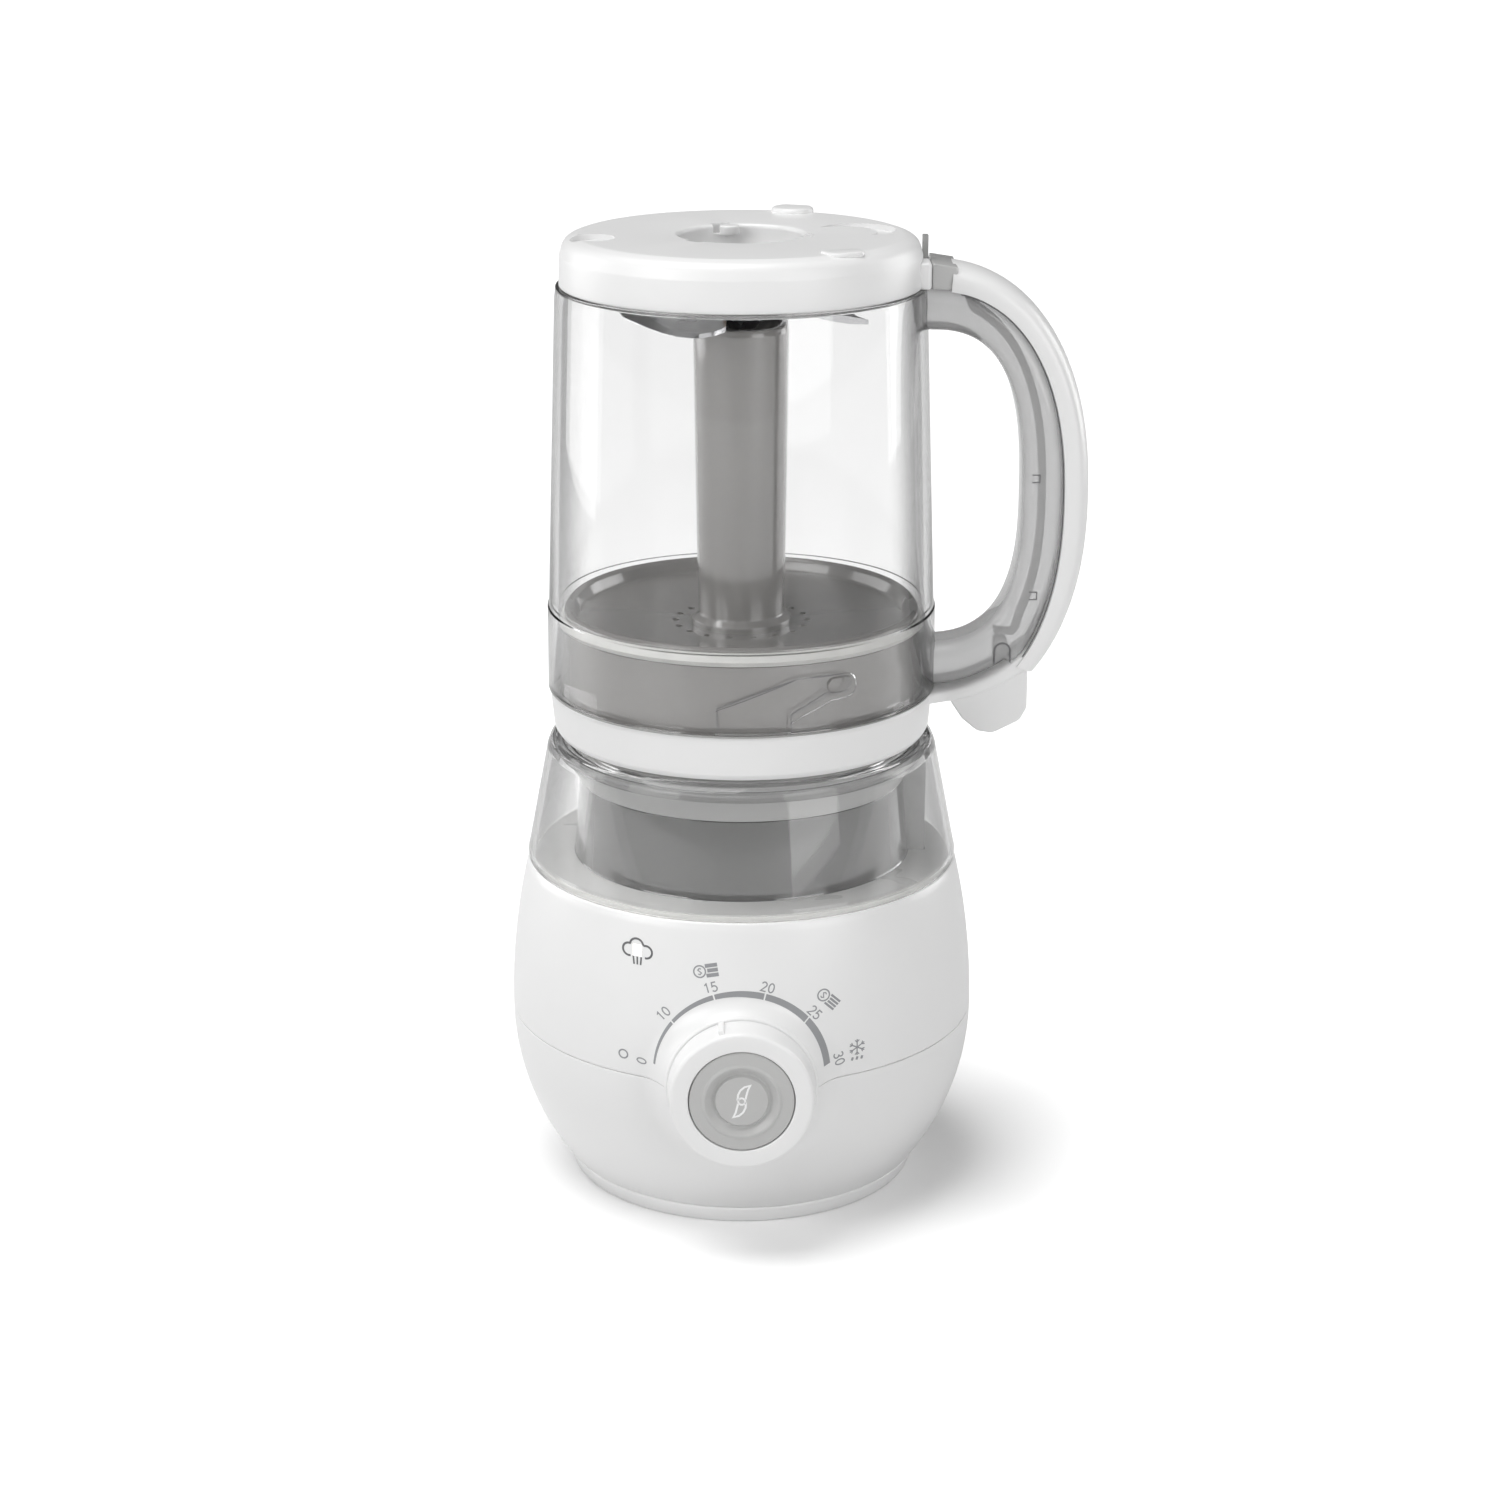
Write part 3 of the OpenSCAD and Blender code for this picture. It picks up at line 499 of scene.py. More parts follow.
def dress_cad_nodes():
    """Gives every CAD node the material of its slot, with smooth shading on its round faces."""
    slots = {s["node"]: s["material_slot"] for s in frame["record"]["subparts"]}
    own = {"motor_tower": TOWER_GRAY, "interlock_rod": ROD_GRAY, "tank_floor": FLOOR_GRAY_PAINTED_LIT,
           "handle_core": HANDLE_CLEAR, "jar_wall": JAR_CLEAR, "jar_cap": CAP_WHITE}
    for name, node in frame["nodes"].items():
        node.data.materials.clear()
        node.data.materials.append(own.get(name, BY_SLOT[slots[name]]))
        node.data.shade_smooth()
        node.data.set_sharp_from_angle(angle=math.radians(30))


# ---- Base ----

BOSS_R = 23.6  # radius of the knob boss at its face
BOSS_FACE = 78.2  # how far its face stands in front of Z's axis
BOSS_SLOPE = 1.7  # how fast the skin falls back round it
BOSS_BLEND = 5.0  # width of the soft bend at its root
PLUNGER_SLOT = [(53, -4), (59, -4), (59, 4), (53, 4)]
PIN_SLOT = [(54.3, -3.6), (59.3, -3.6), (59.3, 3.6), (54.3, 3.6)]
COLUMN_SLOT = [(46, -6), (59.5, -6), (59.5, 6), (46, 6)]


def swell(x, y, z):
    """Moves a point of the housing's skin forwards where the knob boss grows out of it."""
    away = math.hypot(x, z - SEAM_Z)
    if y > -40 or away > 45 or math.hypot(x, y) < body_at(z) - 1:
        return x, y, z
    skin = -y
    cone = BOSS_FACE - 1.2 - (away - BOSS_R) * BOSS_SLOPE
    cone = min(cone, BOSS_FACE - 0.6)
    mix = max(BOSS_BLEND - abs(skin - cone), 0) / BOSS_BLEND
    return x, -(max(skin, cone) + mix * mix * BOSS_BLEND / 4), z


def front_angles():
    """Angles round Z that lie close together across the front."""
    fine, coarse = 0.45, 3.0
    reach = 27.0
    angles = [270 - reach + fine * k for k in range(int(2 * reach / fine) + 1)]
    rest = 360 - 2 * reach
    count = int(rest / coarse)
    angles += [270 + reach + rest * (k + 1) / (count + 1) for k in range(count)]
    return [math.radians(a) for a in angles]


def skin_rows(start, end, step):
    """Heights from start to end, close together beside the knob boss."""
    count = max(2, int(abs(end - start) / step))
    return [start + (end - start) * k / count for k in range(count + 1)]


def housing(name, rows, inner, node, openings):
    outline = [(body_at(z), z) for z in rows] + inner
    shell = turned(name, outline, angles=front_angles(), push=swell)
    combine(shell, prism("hole", disc(0, SEAM_Z, 9, 64), -60, -95))
    for opening in openings:
        combine(shell, opening)
    return finish(shell, "main_unit", "white_plastic", WHITE, node, angle=40)


def seam_edge(away):
    """Outline points of the seam's rounded edge, with away -1 below the seam and 1 above it."""
    return [(body_at(SEAM_Z) - 0.02, SEAM_Z + 0.32 * away), (body_at(SEAM_Z) - 0.12, SEAM_Z + 0.16 * away),
            (body_at(SEAM_Z) - 0.4, SEAM_Z + 0.07 * away)]


def make_housings():
    lower = [FOOT_Z] + skin_rows(FOOT_Z + 0.6, 24, 2.5) + skin_rows(24.7, SEAM_Z - 0.5, 0.7)
    inner = [(body_at(z) - SHELL_T, z) for z in skin_rows(SEAM_Z, FOOT_Z + SHELL_T, 5)]
    gland = turned("gland_hole", [(0, 50), (5.2, 50), (5.2, 90), (0, 90)], 48)
    outwards = Matrix.Rotation(math.radians(GLAND_TURN), 4, "Z") @ Matrix.Rotation(math.radians(-90), 4, "X")
    gland.data.transform(Matrix.Translation(Vector((0, 0, GLAND_Z)) * M) @ outwards)
    rim = [(52.2, FOOT_Z + SHELL_T), (52.2, FOOT_Z)]
    housing("lower_skin", lower, seam_edge(-1) + inner + rim, "lower_housing", [gland])
    upper = skin_rows(SEAM_Z + 0.5, 88, 0.7) + skin_rows(88.7, DECK_Z - 0.5, 2.5)
    roof = [(body_at(DECK_Z) - 0.25, DECK_Z - 0.1), (body_at(DECK_Z) - 0.8, DECK_Z), (9, DECK_Z),
            (9, DECK_Z - SHELL_T)]
    inner = [(body_at(z) - SHELL_T, z) for z in skin_rows(DECK_Z - SHELL_T, SEAM_Z, 5)]
    slot = prism("slot", PLUNGER_SLOT, DECK_Z - 6, DECK_Z + 6, "XY")
    housing("upper_skin", upper, roof + inner + seam_edge(1)[::-1], "upper_housing", [slot])
    collar = rounded([
        (9.2, 66), (BOSS_R + 0.4, 66), (BOSS_R + 0.4, 76, 1), (BOSS_R, BOSS_FACE, 0.9), (9.2, BOSS_FACE)])
    finish(turned("knob_boss", collar, on_knob=True), "main_unit", "white_plastic", WHITE)


def make_foot():
    top = FOOT_Z - 0.3
    outline = rounded([
        (0, 2.5), (46, 2.5), (50, 0, 0.6), (56.05, 0, 0.8), (58.3, top, 0.7), (54, top), (52, 5), (0, 5)])
    ring = turned("foot_skirt", outline)
    cuts = [pins(SCREW_RING_R, 2.6, range(45, 360, 90), -1, 3.7, 32)]
    for x in range(-24, 25, 8):
        slot = rounded([(x - 1.5, -18, 1.4), (x + 1.5, -18, 1.4), (x + 1.5, 18, 1.4), (x - 1.5, 18, 1.4)])
        cuts.append(prism("slot", slot, -1, 9, "XY"))
    combine(ring, gathered(cuts))
    # The foot ring takes the lighter white: painted light.
    finish(ring, "main_unit", "white_plastic", FOOT_WHITE_PAINTED_LIT, "foot_ring")


# ---- Tank, tower and seat ----

def make_tank():
    top = SEAT_Z - 1.5
    outline = rounded([
        (67.1, DECK_Z + 0.05), (TANK_R, DECK_Z + 0.05, 0.5), (TANK_R, 109.5, 0.6), (TANK_R - 0.4, 111, 1.2),
        (62.5, 144, 2.5), (61.6, 146.2, 1.2), (60, top, 1.2), (55.5, top + 0.25, 0.5), (55.5, 142, 0.5),
        (57.4, 142, 0.5), (57.4, 145.6, 0.8), (59.3, 144.6, 1.2), (60.3, 143, 1.5), (66.8, 110, 0.8),
        (67.1, 109)], 6)
    bell = turned("tank_bell", outline)
    combine(bell, prism("pin_slot", PIN_SLOT, 138, 152, "XY"))
    combine(bell, prism("spout_mouth", [(-11.5, 122), (11.5, 122), (11.5, 143), (-11.5, 143)], 55, 75))
    finish(bell, "main_unit", "clear_plastic", TANK_CLEAR, "water_tank")


def make_tower():
    foot = DECK_Z + 1.7
    outline = rounded([
        (TOWER_R - 2.2, foot), (TOWER_R + 0.35, foot), (TOWER_R + 0.1, foot + 0.5, 0.4),
        (TOWER_R - 1.9, TOWER_TOP, 0.4), (TOWER_R - 4.1, TOWER_TOP)])
    wall = turned("tower_wall", outline)
    combine(wall, prism("slot", COLUMN_SLOT, foot - 3, TOWER_TOP + 3, "XY"))
    finish(wall, "main_unit", "gray_plastic", TOWER_GRAY, "motor_tower")
    seat = rounded([
        (49, TOWER_TOP), (52.4, TOWER_TOP + 0.1, 0.3), (53.6, 141, 1.5), (55.25, 143, 1),
        (55.25, SEAT_Z, 0.9), (18, SEAT_Z), (16, SEAT_Z - 1, 0.5), (16, 143), (8.1, 143), (8.1, TOWER_TOP),
        (10.5, TOWER_TOP), (10.5, 140.4), (18.5, 140.4), (18.5, SEAT_Z - 2.4), (49, SEAT_Z - 2.4)])
    top = turned("seat_top", seat)
    combine(top, prism("hole", disc(0, 42, 6.4), 143, 155, "XY"))
    combine(top, prism("slot", COLUMN_SLOT, 130, 142, "XY"))
    combine(top, prism("slot", PIN_SLOT, 139, 152, "XY"))
    finish(top, "main_unit", "pale_plastic", PALE, "jar_seat")


# ---- Knob and button ----

def make_knob():
    outline = rounded([
        (4.5, 68), (7.6, 68), (7.6, 78.6), (KNOB_R + 0.9, 78.6, 0.5), (KNOB_R + 0.5, 80.2, 2),
        (KNOB_R, KNOB_FACE - 0.1, 1.3), (BUTTON_R + 0.25, KNOB_FACE, 0.5), (BUTTON_R + 0.25, 81),
        (4.5, 81)], 7)
    finish(turned("knob_body", outline, on_knob=True), "knob", "white_plastic", WHITE, "timer_knob")
    foot = KNOB_R - 1.2
    rings = []
    for depth, rise, half in ((78.8, 0.7, 1.1), (79.4, 1.5, 1.3), (84.6, 1.5, 1.2), (85.8, 1.1, 1.1),
                              (86.3, -0.3, 0.9)):
        tip = KNOB_R + rise
        ring = rounded([(-half, foot), (half, foot), (half * 0.8, tip, 0.5), (-half * 0.8, tip, 0.5)])
        rings.append([(a, -depth, b) for a, b in ring])
    pointer = moved(loft("knob_pointer", rings), (0, 0, SEAM_Z), POINTER_TURN, "Y")
    finish(pointer, "knob", "white_plastic", WHITE, angle=50)


def make_button():
    """The dished cap of the button, with a pocket behind it that clears the spring, and its stem."""
    face = KNOB_FACE - 0.3
    dish = KNOB_FACE - DISH
    outline = rounded([
        (0, dish - 0.25), (7.4, dish - 0.25), (7.4, 84.6), (14.4, 84.6), (14.4, 83.6), (BUTTON_R, 83.6),
        (BUTTON_R, face, 0.6), (12.4, face + 0.05, 0.8), (11.7, face + 0.5, 0.6), (11.2, face + 0.4, 0.4),
        (9.2, face - 1.4, 0.8), (8.6, face - 1.4, 0.3), (8.0, dish, 0.4), (0, dish)], 6)
    finish(turned("button_cap", outline, on_knob=True), "button", "button_plastic", BUTTON, "blend_button")
    stem = rounded([(0, 51), (2.5, 51, 0.5), (2.5, dish - 0.1), (0, dish - 0.1)])
    finish(turned("button_stem", stem, 48, on_knob=True), "button", "button_plastic", BUTTON)


# ---- Printed marks ----

INK_OUT = 0.05  # how far a mark stands out of its surface
INK_IN = 0.12  # how far it reaches into it
DIGIT_STEP = 0.78  # from one digit to the next, for digits of height 1


def oval_points(cx, cy, a, b, start, end, steps=18):
    """Points on an oval, from one angle to another in degrees from +X."""
    turns = [math.radians(start + (end - start) * k / steps) for k in range(steps + 1)]
    return [(cx + a * math.cos(t), cy + b * math.sin(t)) for t in turns]


def arc_points(cx, cy, radius, start, end, steps=12):
    return oval_points(cx, cy, radius, radius, start, end, steps)


DIGITS = {
    "0": [oval_points(0.3, 0.5, 0.27, 0.47, 0, 360)],
    "1": [[(0.12, 0.8), (0.34, 0.97), (0.34, 0.03)]],
    "2": [oval_points(0.3, 0.71, 0.25, 0.26, 165, -35, 12) + [(0.04, 0.03), (0.58, 0.03)]],
    "3": [oval_points(0.27, 0.74, 0.24, 0.23, 150, -90, 12),
          oval_points(0.27, 0.28, 0.28, 0.25, 90, -150, 12)],
    "5": [[(0.52, 0.97), (0.12, 0.97), (0.08, 0.55)] + oval_points(0.27, 0.32, 0.28, 0.29, 118, -145, 12)],
}


def ribbon(line, width):
    """Left and right edges of a stroke along a line, with pointed joins kept even."""
    closed = math.dist(line[0], line[-1]) < 1e-6
    points = [Vector(p) for p in (line[:-1] if closed else line)]
    left, right = [], []
    count = len(points)
    for i, here in enumerate(points):
        before = points[i - 1] if i or closed else here - (points[1] - here)
        after = points[(i + 1) % count] if i < count - 1 or closed else here + (here - points[i - 1])
        first, second = (here - before).normalized(), (after - here).normalized()
        normal = Vector((-(first.y + second.y), first.x + second.x)).normalized()
        reach = width / 2 / max(0.5, normal.dot(Vector((-first.y, first.x))))
        left.append(here + normal * reach)
        right.append(here - normal * reach)
    return left, right, closed


def strokes_to_mesh(name, lines, on_surface):
    """Thin raised strokes laid on a surface: on_surface(a, b, out) gives the point that stands out by out."""
    vertices, faces = [], []
    for line, width in lines:
        left, right, closed = ribbon(line, width)
        start, count = len(vertices), len(left)
        for out in (INK_OUT, -INK_IN):
            for side in (left, right):
                vertices.extend(on_surface(p.x, p.y, out) for p in side)
        tl, tr, bl, br = (start + count * k for k in range(4))
        for i in range(count if closed else count - 1):
            j = (i + 1) % count
            faces.append([tl + i, tl + j, tr + j, tr + i])
            faces.append([bl + j, bl + i, br + i, br + j])
            faces.append([tl + j, tl + i, bl + i, bl + j])
            faces.append([tr + i, tr + j, br + j, br + i])
        if not closed:
            faces.append([tl, tr, br, bl])
            faces.append([tr + count - 1, tl + count - 1, bl + count - 1, br + count - 1])
    return new_piece(name, vertices, faces)


def placed(line, x, z, turn, scale=1.0):
    """A line moved to (x, z) on the housing's front and turned clockwise by turn degrees."""
    c, s = math.cos(math.radians(-turn)), math.sin(math.radians(-turn))
    return [(x + (a * c - b * s) * scale, z + (a * s + b * c) * scale) for a, b in line]


def housing_point(x, z, out):
    """The point of the housing's front at x and z, moved outwards by out."""
    radius = body_at(z) + out
    y = -math.sqrt(max(radius**2 - x**2, 1))
    return swell(x, y, z) if math.hypot(x, z - SEAM_Z) < 32 else (x, y, z)


def number(text, x, z, turn, size, width):
    """Strokes of a number that is centred at (x, z)."""
    lines = []
    shift = -(len(text) * DIGIT_STEP - 0.18) / 2
    for k, digit in enumerate(text):
        for line in DIGITS[digit]:
            centred = [(a + shift + DIGIT_STEP * k, b - 0.5) for a, b in line]
            lines.append((placed(centred, x, z, turn, size), width))
    return lines


def scale_band():
    """The scale round the knob: a band that grows wider clockwise, with gaps at its marks."""
    steps, first, last = 60, -78.4, 78.0
    vertices, faces = [], []
    mark_angles = (-47.6, -16.7, 14.0, 44.5)
    edges = [first] + [m + side for m in mark_angles for side in (-0.5, 0.5)] + [last]
    for part in range(0, len(edges), 2):
        a0, a1 = edges[part], edges[part + 1]
        start = len(vertices)
        for k in range(steps + 1):
            angle = a0 + (a1 - a0) * k / steps
            outer = 27.3 + 3.25 * math.cos(math.radians(angle))
            thick = 0.6 + 1.4 * min(1, (angle - first) / 84) ** 1.2
            for radius in (outer, outer - thick):
                x, z = radius * math.sin(math.radians(angle)), SEAM_Z + radius * math.cos(math.radians(angle))
                vertices.append(housing_point(x, z, INK_OUT))
                vertices.append(housing_point(x, z, -INK_IN))
        for k in range(steps):
            a, b = start + 4 * k, start + 4 * k + 4
            faces += [[a, b, b + 2, a + 2], [a + 1, a + 3, b + 3, b + 1], [a, a + 1, b + 1, b],
                      [a + 2, b + 2, b + 3, a + 3]]
        end = start + 4 * steps
        faces += [[start, start + 2, start + 3, start + 1], [end, end + 1, end + 3, end + 2]]
    return new_piece("scale_band", vertices, faces)


def across(azimuth, z):
    """How far to the side of the middle a mark lies on the housing."""
    return body_at(z) * math.sin(math.radians(azimuth))


def cloud_strokes(x, z):
    """A cloud with three streaks of steam under it."""
    cloud = (arc_points(-2.6, -0.3, 1.9, 285, 80) + arc_points(-0.2, 1.2, 2.1, 150, 15)
             + arc_points(2.7, -0.4, 1.9, 105, -100))
    streaks = [(placed([(k * 1.25, -2.2), (k, -4.6)], x, z, 0), 0.5) for k in (-1, 0, 1)]
    return [(placed(cloud, x, z, 0), 0.6)] + streaks


def bars_strokes(x, z, turn, bars):
    """A small disc with a curl in it and a pile of bars beside it."""
    curl = [(-1.95, 0.7), (-2.5, 0.95), (-3.0, 0.5), (-2.5, 0), (-2.0, -0.5), (-2.5, -0.95), (-3.05, -0.7)]
    marks = [(placed(arc_points(-2.5, 0, 1.8, 0, 360, 24), x, z, turn), 0.42),
             (placed(curl, x, z, turn), 0.32)]
    for k in range(bars):
        b = 1.5 - 3.0 * k / (bars - 1)
        start = math.sqrt(max(2.5**2 - b**2, 0)) - 2.6
        marks.append((placed([(start, b), (3.2, b)], x, z, turn), 3.0 / (bars - 1) - 0.34))
    return marks


def snowflake_strokes(x, z):
    """Six arms with two twigs each, and three drops below them."""
    marks = []
    for turn in range(30, 390, 60):
        a = math.radians(turn)
        marks.append((placed([(0, 0), (2.6 * math.cos(a), 2.6 * math.sin(a))], x, z, 0), 0.36))
        root = (1.6 * math.cos(a), 1.6 * math.sin(a))
        for side in (-40, 40):
            b = math.radians(turn + side)
            marks.append((placed([root, (root[0] + math.cos(b), root[1] + math.sin(b))], x, z, 0), 0.3))
    for k in (-1, 0, 1):
        marks.append((placed([(1.5 * k + 0.15, -3.1), (1.5 * k - 0.15, -4.1)], x, z, 0), 0.7))
    return marks


def print_on_housing(name, strokes, material=PRINT):
    finish(strokes_to_mesh(name, strokes, housing_point), "main_unit", "button_plastic", material)


def make_prints():
    finish(scale_band(), "main_unit", "button_plastic", PRINT)
    numbers = []
    for text, azimuth, z, turn in (
            ("0", -24.4, 61.4, -78), ("10", -19.0, 77.9, -46.8), ("15", -7.5, 87.4, -15.6),
            ("20", 6.3, 87.5, 15.6), ("25", 17.7, 78.4, 46.8), ("30", 23.7, 62.3, 78)):
        numbers += number(text, across(azimuth, z), z, turn, 3.0, 0.4)
    print_on_housing("scale_numbers", numbers)
    steam_x, steam_z = across(-26.7, 96), 96.6
    print_on_housing("steam_mark", cloud_strokes(steam_x, steam_z), PRINT_DARK)
    marks = [(placed(arc_points(0, 0, 1.35, 0, 360, 24), across(-29.3, 62.5), 62.5, -78), 0.45)]
    marks += bars_strokes(across(-8.3, 92.6), 92.6, -10, 3) + bars_strokes(across(21.5, 81.8), 81.8, 44, 4)
    marks += snowflake_strokes(across(28.5, 64.6), 64.8)
    print_on_housing("scale_marks", marks)
    pane = placed([(-1.3, -0.2), (1.3, -0.2)], steam_x, steam_z, 0)
    window = strokes_to_mesh("steam_window", [(pane, 3.4)], housing_point)
    finish(window, "main_unit", "clear_plastic", GLOW)
    petal = [(-1.55, 0.3), (-1.5, 2.4), (-0.8, 4.2), (0.6, 5.6), (2.6, 6.3), (1.9, 4.6), (1.45, 2.2),
             (1.3, 0.9)]
    blade = [(placed(petal, 0, 0, half), 0.62) for half in (0, 180)]
    blade.append((arc_points(0, 0, 1.25, 0, 360, 24), 0.6))
    tilted = [(placed(line, 0, 0, 4, 0.86), width) for line, width in blade]
    icon = strokes_to_mesh("blend_icon", tilted, lambda a, b, out: (a, -(KNOB_FACE - DISH + out), SEAM_Z + b))
    finish(icon, "button", "button_plastic", PRINT_WHITE)


# ---- Lid, tube and ring ----

def make_lid():
    rim_z = high("lid_base").z
    outline = rounded([
        (54.4, 150.8), (55.6, LID_Z, 0.5), (LID_R, 150.8, 0.5), (LID_R, 185.2, 0.3), (55.5, 185.2),
        (55.5, 188.8), (LID_R - 0.1, 188.8, 0.2), (LID_R - 0.3, 190.2, 0.6), (55.2, rim_z, 0.7),
        (53.6, 190, 1.2), (52, 186.4, 1.5), (16.2, 183.6), (16.2, 181.2), (51.4, 184), (54.4, 182)])
    lid = turned("lid_shell", outline)
    combine(lid, pins(DRAIN_RING_R, 1.2, range(0, 360, 20), 170, 195, 16))
    finish(lid, "lid", "gray_plastic", WARM_GRAY, "lid_base")
    long, tall = 4.5, 2.4
    pill = rounded([(-long, -tall, 2.35), (long, -tall, 2.35), (long, tall, 2.35), (-long, tall, 2.35)], 8)
    rings = []
    for out, inset in ((-1.2, 0), (0.35, 0), (0.7, 0.35)):
        ring = []
        for a, b in pill:
            around = math.radians(LUG_TURN) + a * (1 - inset / long) / LID_R
            ring.append(((LID_R + out) * math.cos(around), (LID_R + out) * math.sin(around),
                         LUG_Z + b * (1 - inset / tall)))
        rings.append(ring)
    finish(loft("lid_lug", rings), "lid", "gray_plastic", WARM_GRAY)


def make_tube():
    outline = rounded([
        (11.4, 176), (13.6, 176), (13.6, 181.1), (16.1, 181.1), (16.1, 185.4, 0.8), (13.8, 187.2, 1),
        (14.3, 227), (14.9, TUBE_TOP - 2, 1), (14.5, TUBE_TOP, 0.7), (12.6, TUBE_TOP, 0.7), (11.9, 227),
        (11.4, 187)])
    finish(turned("tube_wall", outline), "lid", "gray_plastic", WARM_GRAY, "steam_tube")


def arm_top(x):
    """Height of the upper side of the ring's arm."""
    return 163.9 + 0.0142 * (x - 60) ** 2


def arm_low(x):
    return 159.3 + 0.0125 * (x - 60) ** 2


def section_ring(point_in, point_out, half, shape):
    """A rounded cross-section between two points of the XZ plane, with half its width along Y."""
    a, b = Vector(point_in), Vector(point_out)
    middle, reach = (a + b) / 2, (b - a) / 2
    count = 40
    ring = []
    for k in range(count):
        t = math.tau * k / count
        c, s = math.cos(t), math.sin(t)
        u = math.copysign(abs(c) ** (2 / shape), c)
        v = math.copysign(abs(s) ** (2 / shape), s)
        spot = middle + reach * u
        ring.append((spot.x, half * v, spot.y))
    return ring


def shrink_ring(ring, amount):
    centre = sum((Vector(p) for p in ring), Vector()) / len(ring)
    return [tuple(centre + (Vector(p) - centre) * amount) for p in ring]


def make_ring():
    outline = rounded([
        (LID_R + 0.1, 150.8), (57.8, 149.7, 0.5), (58.8, 149.7, 0.8), (60.1, 151.6, 1.6), (61.1, 162.6, 0.8),
        (60.9, RING_TOP, 0.6), (LID_R + 0.1, RING_TOP, 0.4)])
    finish(turned("ring_band", outline), "lid", "white_plastic", WHITE)
    rings = []
    root, tip, steps = 58.8, 91.0, 20
    for k in range(steps + 1):
        x = root + (tip - root) * k / steps
        flare = max(0.0, 1 - (x - root) / 7)
        half = HANDLE_W / 2 - 0.7 + 3.0 * flare**2
        tilt = 0.5 * (x - 60) / 30
        rings.append(section_ring((x + tilt * 2.6, arm_low(x)), (x - tilt * 1.2, arm_top(x)), half, 4.5))
    rings = [shrink_ring(rings[0], 0.9)] + rings
    rings.append([(x + 0.7, y * 0.985, z + 0.2) for x, y, z in shrink_ring(rings[-1], 0.93)])
    rings.append([(x + 0.5, y * 0.95, z + 0.1) for x, y, z in shrink_ring(rings[-1], 0.7)])
    finish(loft("ring_arm", rings), "lid", "white_plastic", WHITE, "lock_ring", angle=60)
    top = [(x, arm_low(x) + 0.6) for x in (69, 74, 79, 84, 89)]
    tab_outline = rounded([
        (91.1, 171.4, 1), (91.2, 157.2, 3.5), (89, 153.0, 4), (80.5, 148.7, 4.5), (75.5, 149.4, 4),
        (70.5, 153.6, 2.5), (66.2, 160.2, 1)] + top, 6)
    tab = bevelled(prism("ring_tab", tab_outline, -8, 8), 2.2, 4, 50)
    finish(tab, "lid", "white_plastic", WHITE, angle=50)
    post_outline = rounded([(80.3, 165), (85, 165), (85, 179.3, 2.2), (80.3, 179.3, 2.2)], 8)
    finish(bevelled(prism("ring_post", post_outline, -3, 3), 0.5, 3, 50), "lid", "white_plastic", PALE)


# ---- Jar, handle and cap ----

def make_jar():
    inner = JAR_R - JAR_T
    outline = rounded([
        (inner, JAR_Z, 0.6), (JAR_R, JAR_Z, 0.9), (jar_at(COLLAR_Z) + 0.4, COLLAR_Z, 0.3),
        (jar_at(COLLAR_Z) - 0.05, COLLAR_Z + 0.5, 0.3), (jar_at(288), 288),
        (JAR_NECK_R - 0.3, CAP_Z - 0.1, 0.3), (53.4, CAP_Z - 0.1), (53.4, 301), (50.8, 301), (50.8, 291, 0.3),
        (jar_at(290) - JAR_T, 290.7, 0.6), (jar_at(COLLAR_Z) - JAR_T + 0.3, COLLAR_Z, 1)])
    jar = turned("jar_shell", outline, 240)
    track_line = rounded([
        (-8, JAR_Z - 1), (-8, 172, 1.2), (17, 181.6, 2), (34, 181.6, 3), (35, 174.2, 3), (27, 173.6, 2),
        (15, 168, 1.5), (15, JAR_Z - 1)], 5)
    track = prism("track", track_line, -70, -40)
    depth = turned("depth", [(40, 150), (inner + 0.9, 150), (inner + 0.9, 200), (40, 200)], 240)
    combine(track, depth, "INTERSECT")
    combine(jar, track)
    finish(jar, "jar", "clear_plastic", JAR_CLEAR, "jar_wall", angle=25)
    # A thin dark ring where the jar's foot stands on the ring: painted shadow in the gap between them.
    line = [(LID_R + 0.4, JAR_Z - 0.36), (JAR_R - 0.1, JAR_Z - 0.36), (JAR_R - 0.1, JAR_Z - 0.04),
            (LID_R + 0.4, JAR_Z - 0.04)]
    finish(turned("jar_foot_painted_shadow_line", line), "jar", "dark_rubber", ROD_GRAY)
    edge = [(-7.3, JAR_Z + 0.3), (-7.3, 172.8), (16.6, 181.4), (25.3, 181.7), (30, 181.4), (32.2, 179.9),
            (32.6, 178.2), (31.8, 176.2), (29.5, 175.5), (25.8, 176.2), (15, 170.5), (15, JAR_Z + 0.3)]
    track_edge = strokes_to_mesh("track_edge", [(edge, 0.32)],
                                 lambda a, b, out: (a, -math.sqrt((inner + 0.06 - out) ** 2 - a**2), b))
    finish(track_edge, "jar", "clear_plastic", PRINT_DARK)


def d_point(angle, a, b, power):
    """A point of a D-shaped curve that reaches a outwards and b up or down."""
    t = math.radians(angle)
    side = -1 if t < 0 else 1
    return (HANDLE_X + a * max(math.cos(t), 0) ** (2 / power),
            HANDLE_Z + side * b * abs(math.sin(t)) ** (2 / power))


def d_curve(start, end, a, up, down, power):
    """Points of a D-shaped curve from one angle to another, with its own height above and below."""
    steps = 48
    turns = [start + (end - start) * k / steps for k in range(steps + 1)]
    return [d_point(turn, a, down if turn < 0 else up, power) for turn in turns]


def resampled(line, count):
    """The same line with count points spaced evenly along it."""
    lengths = [0.0]
    for a, b in zip(line, line[1:]):
        lengths.append(lengths[-1] + math.dist(a, b))
    out, k = [], 0
    for i in range(count):
        want = lengths[-1] * i / (count - 1)
        while k < len(line) - 2 and lengths[k + 1] < want:
            k += 1
        share = (want - lengths[k]) / max(lengths[k + 1] - lengths[k], 1e-9)
        out.append(tuple(Vector(line[k]).lerp(Vector(line[k + 1]), share)))
    return out


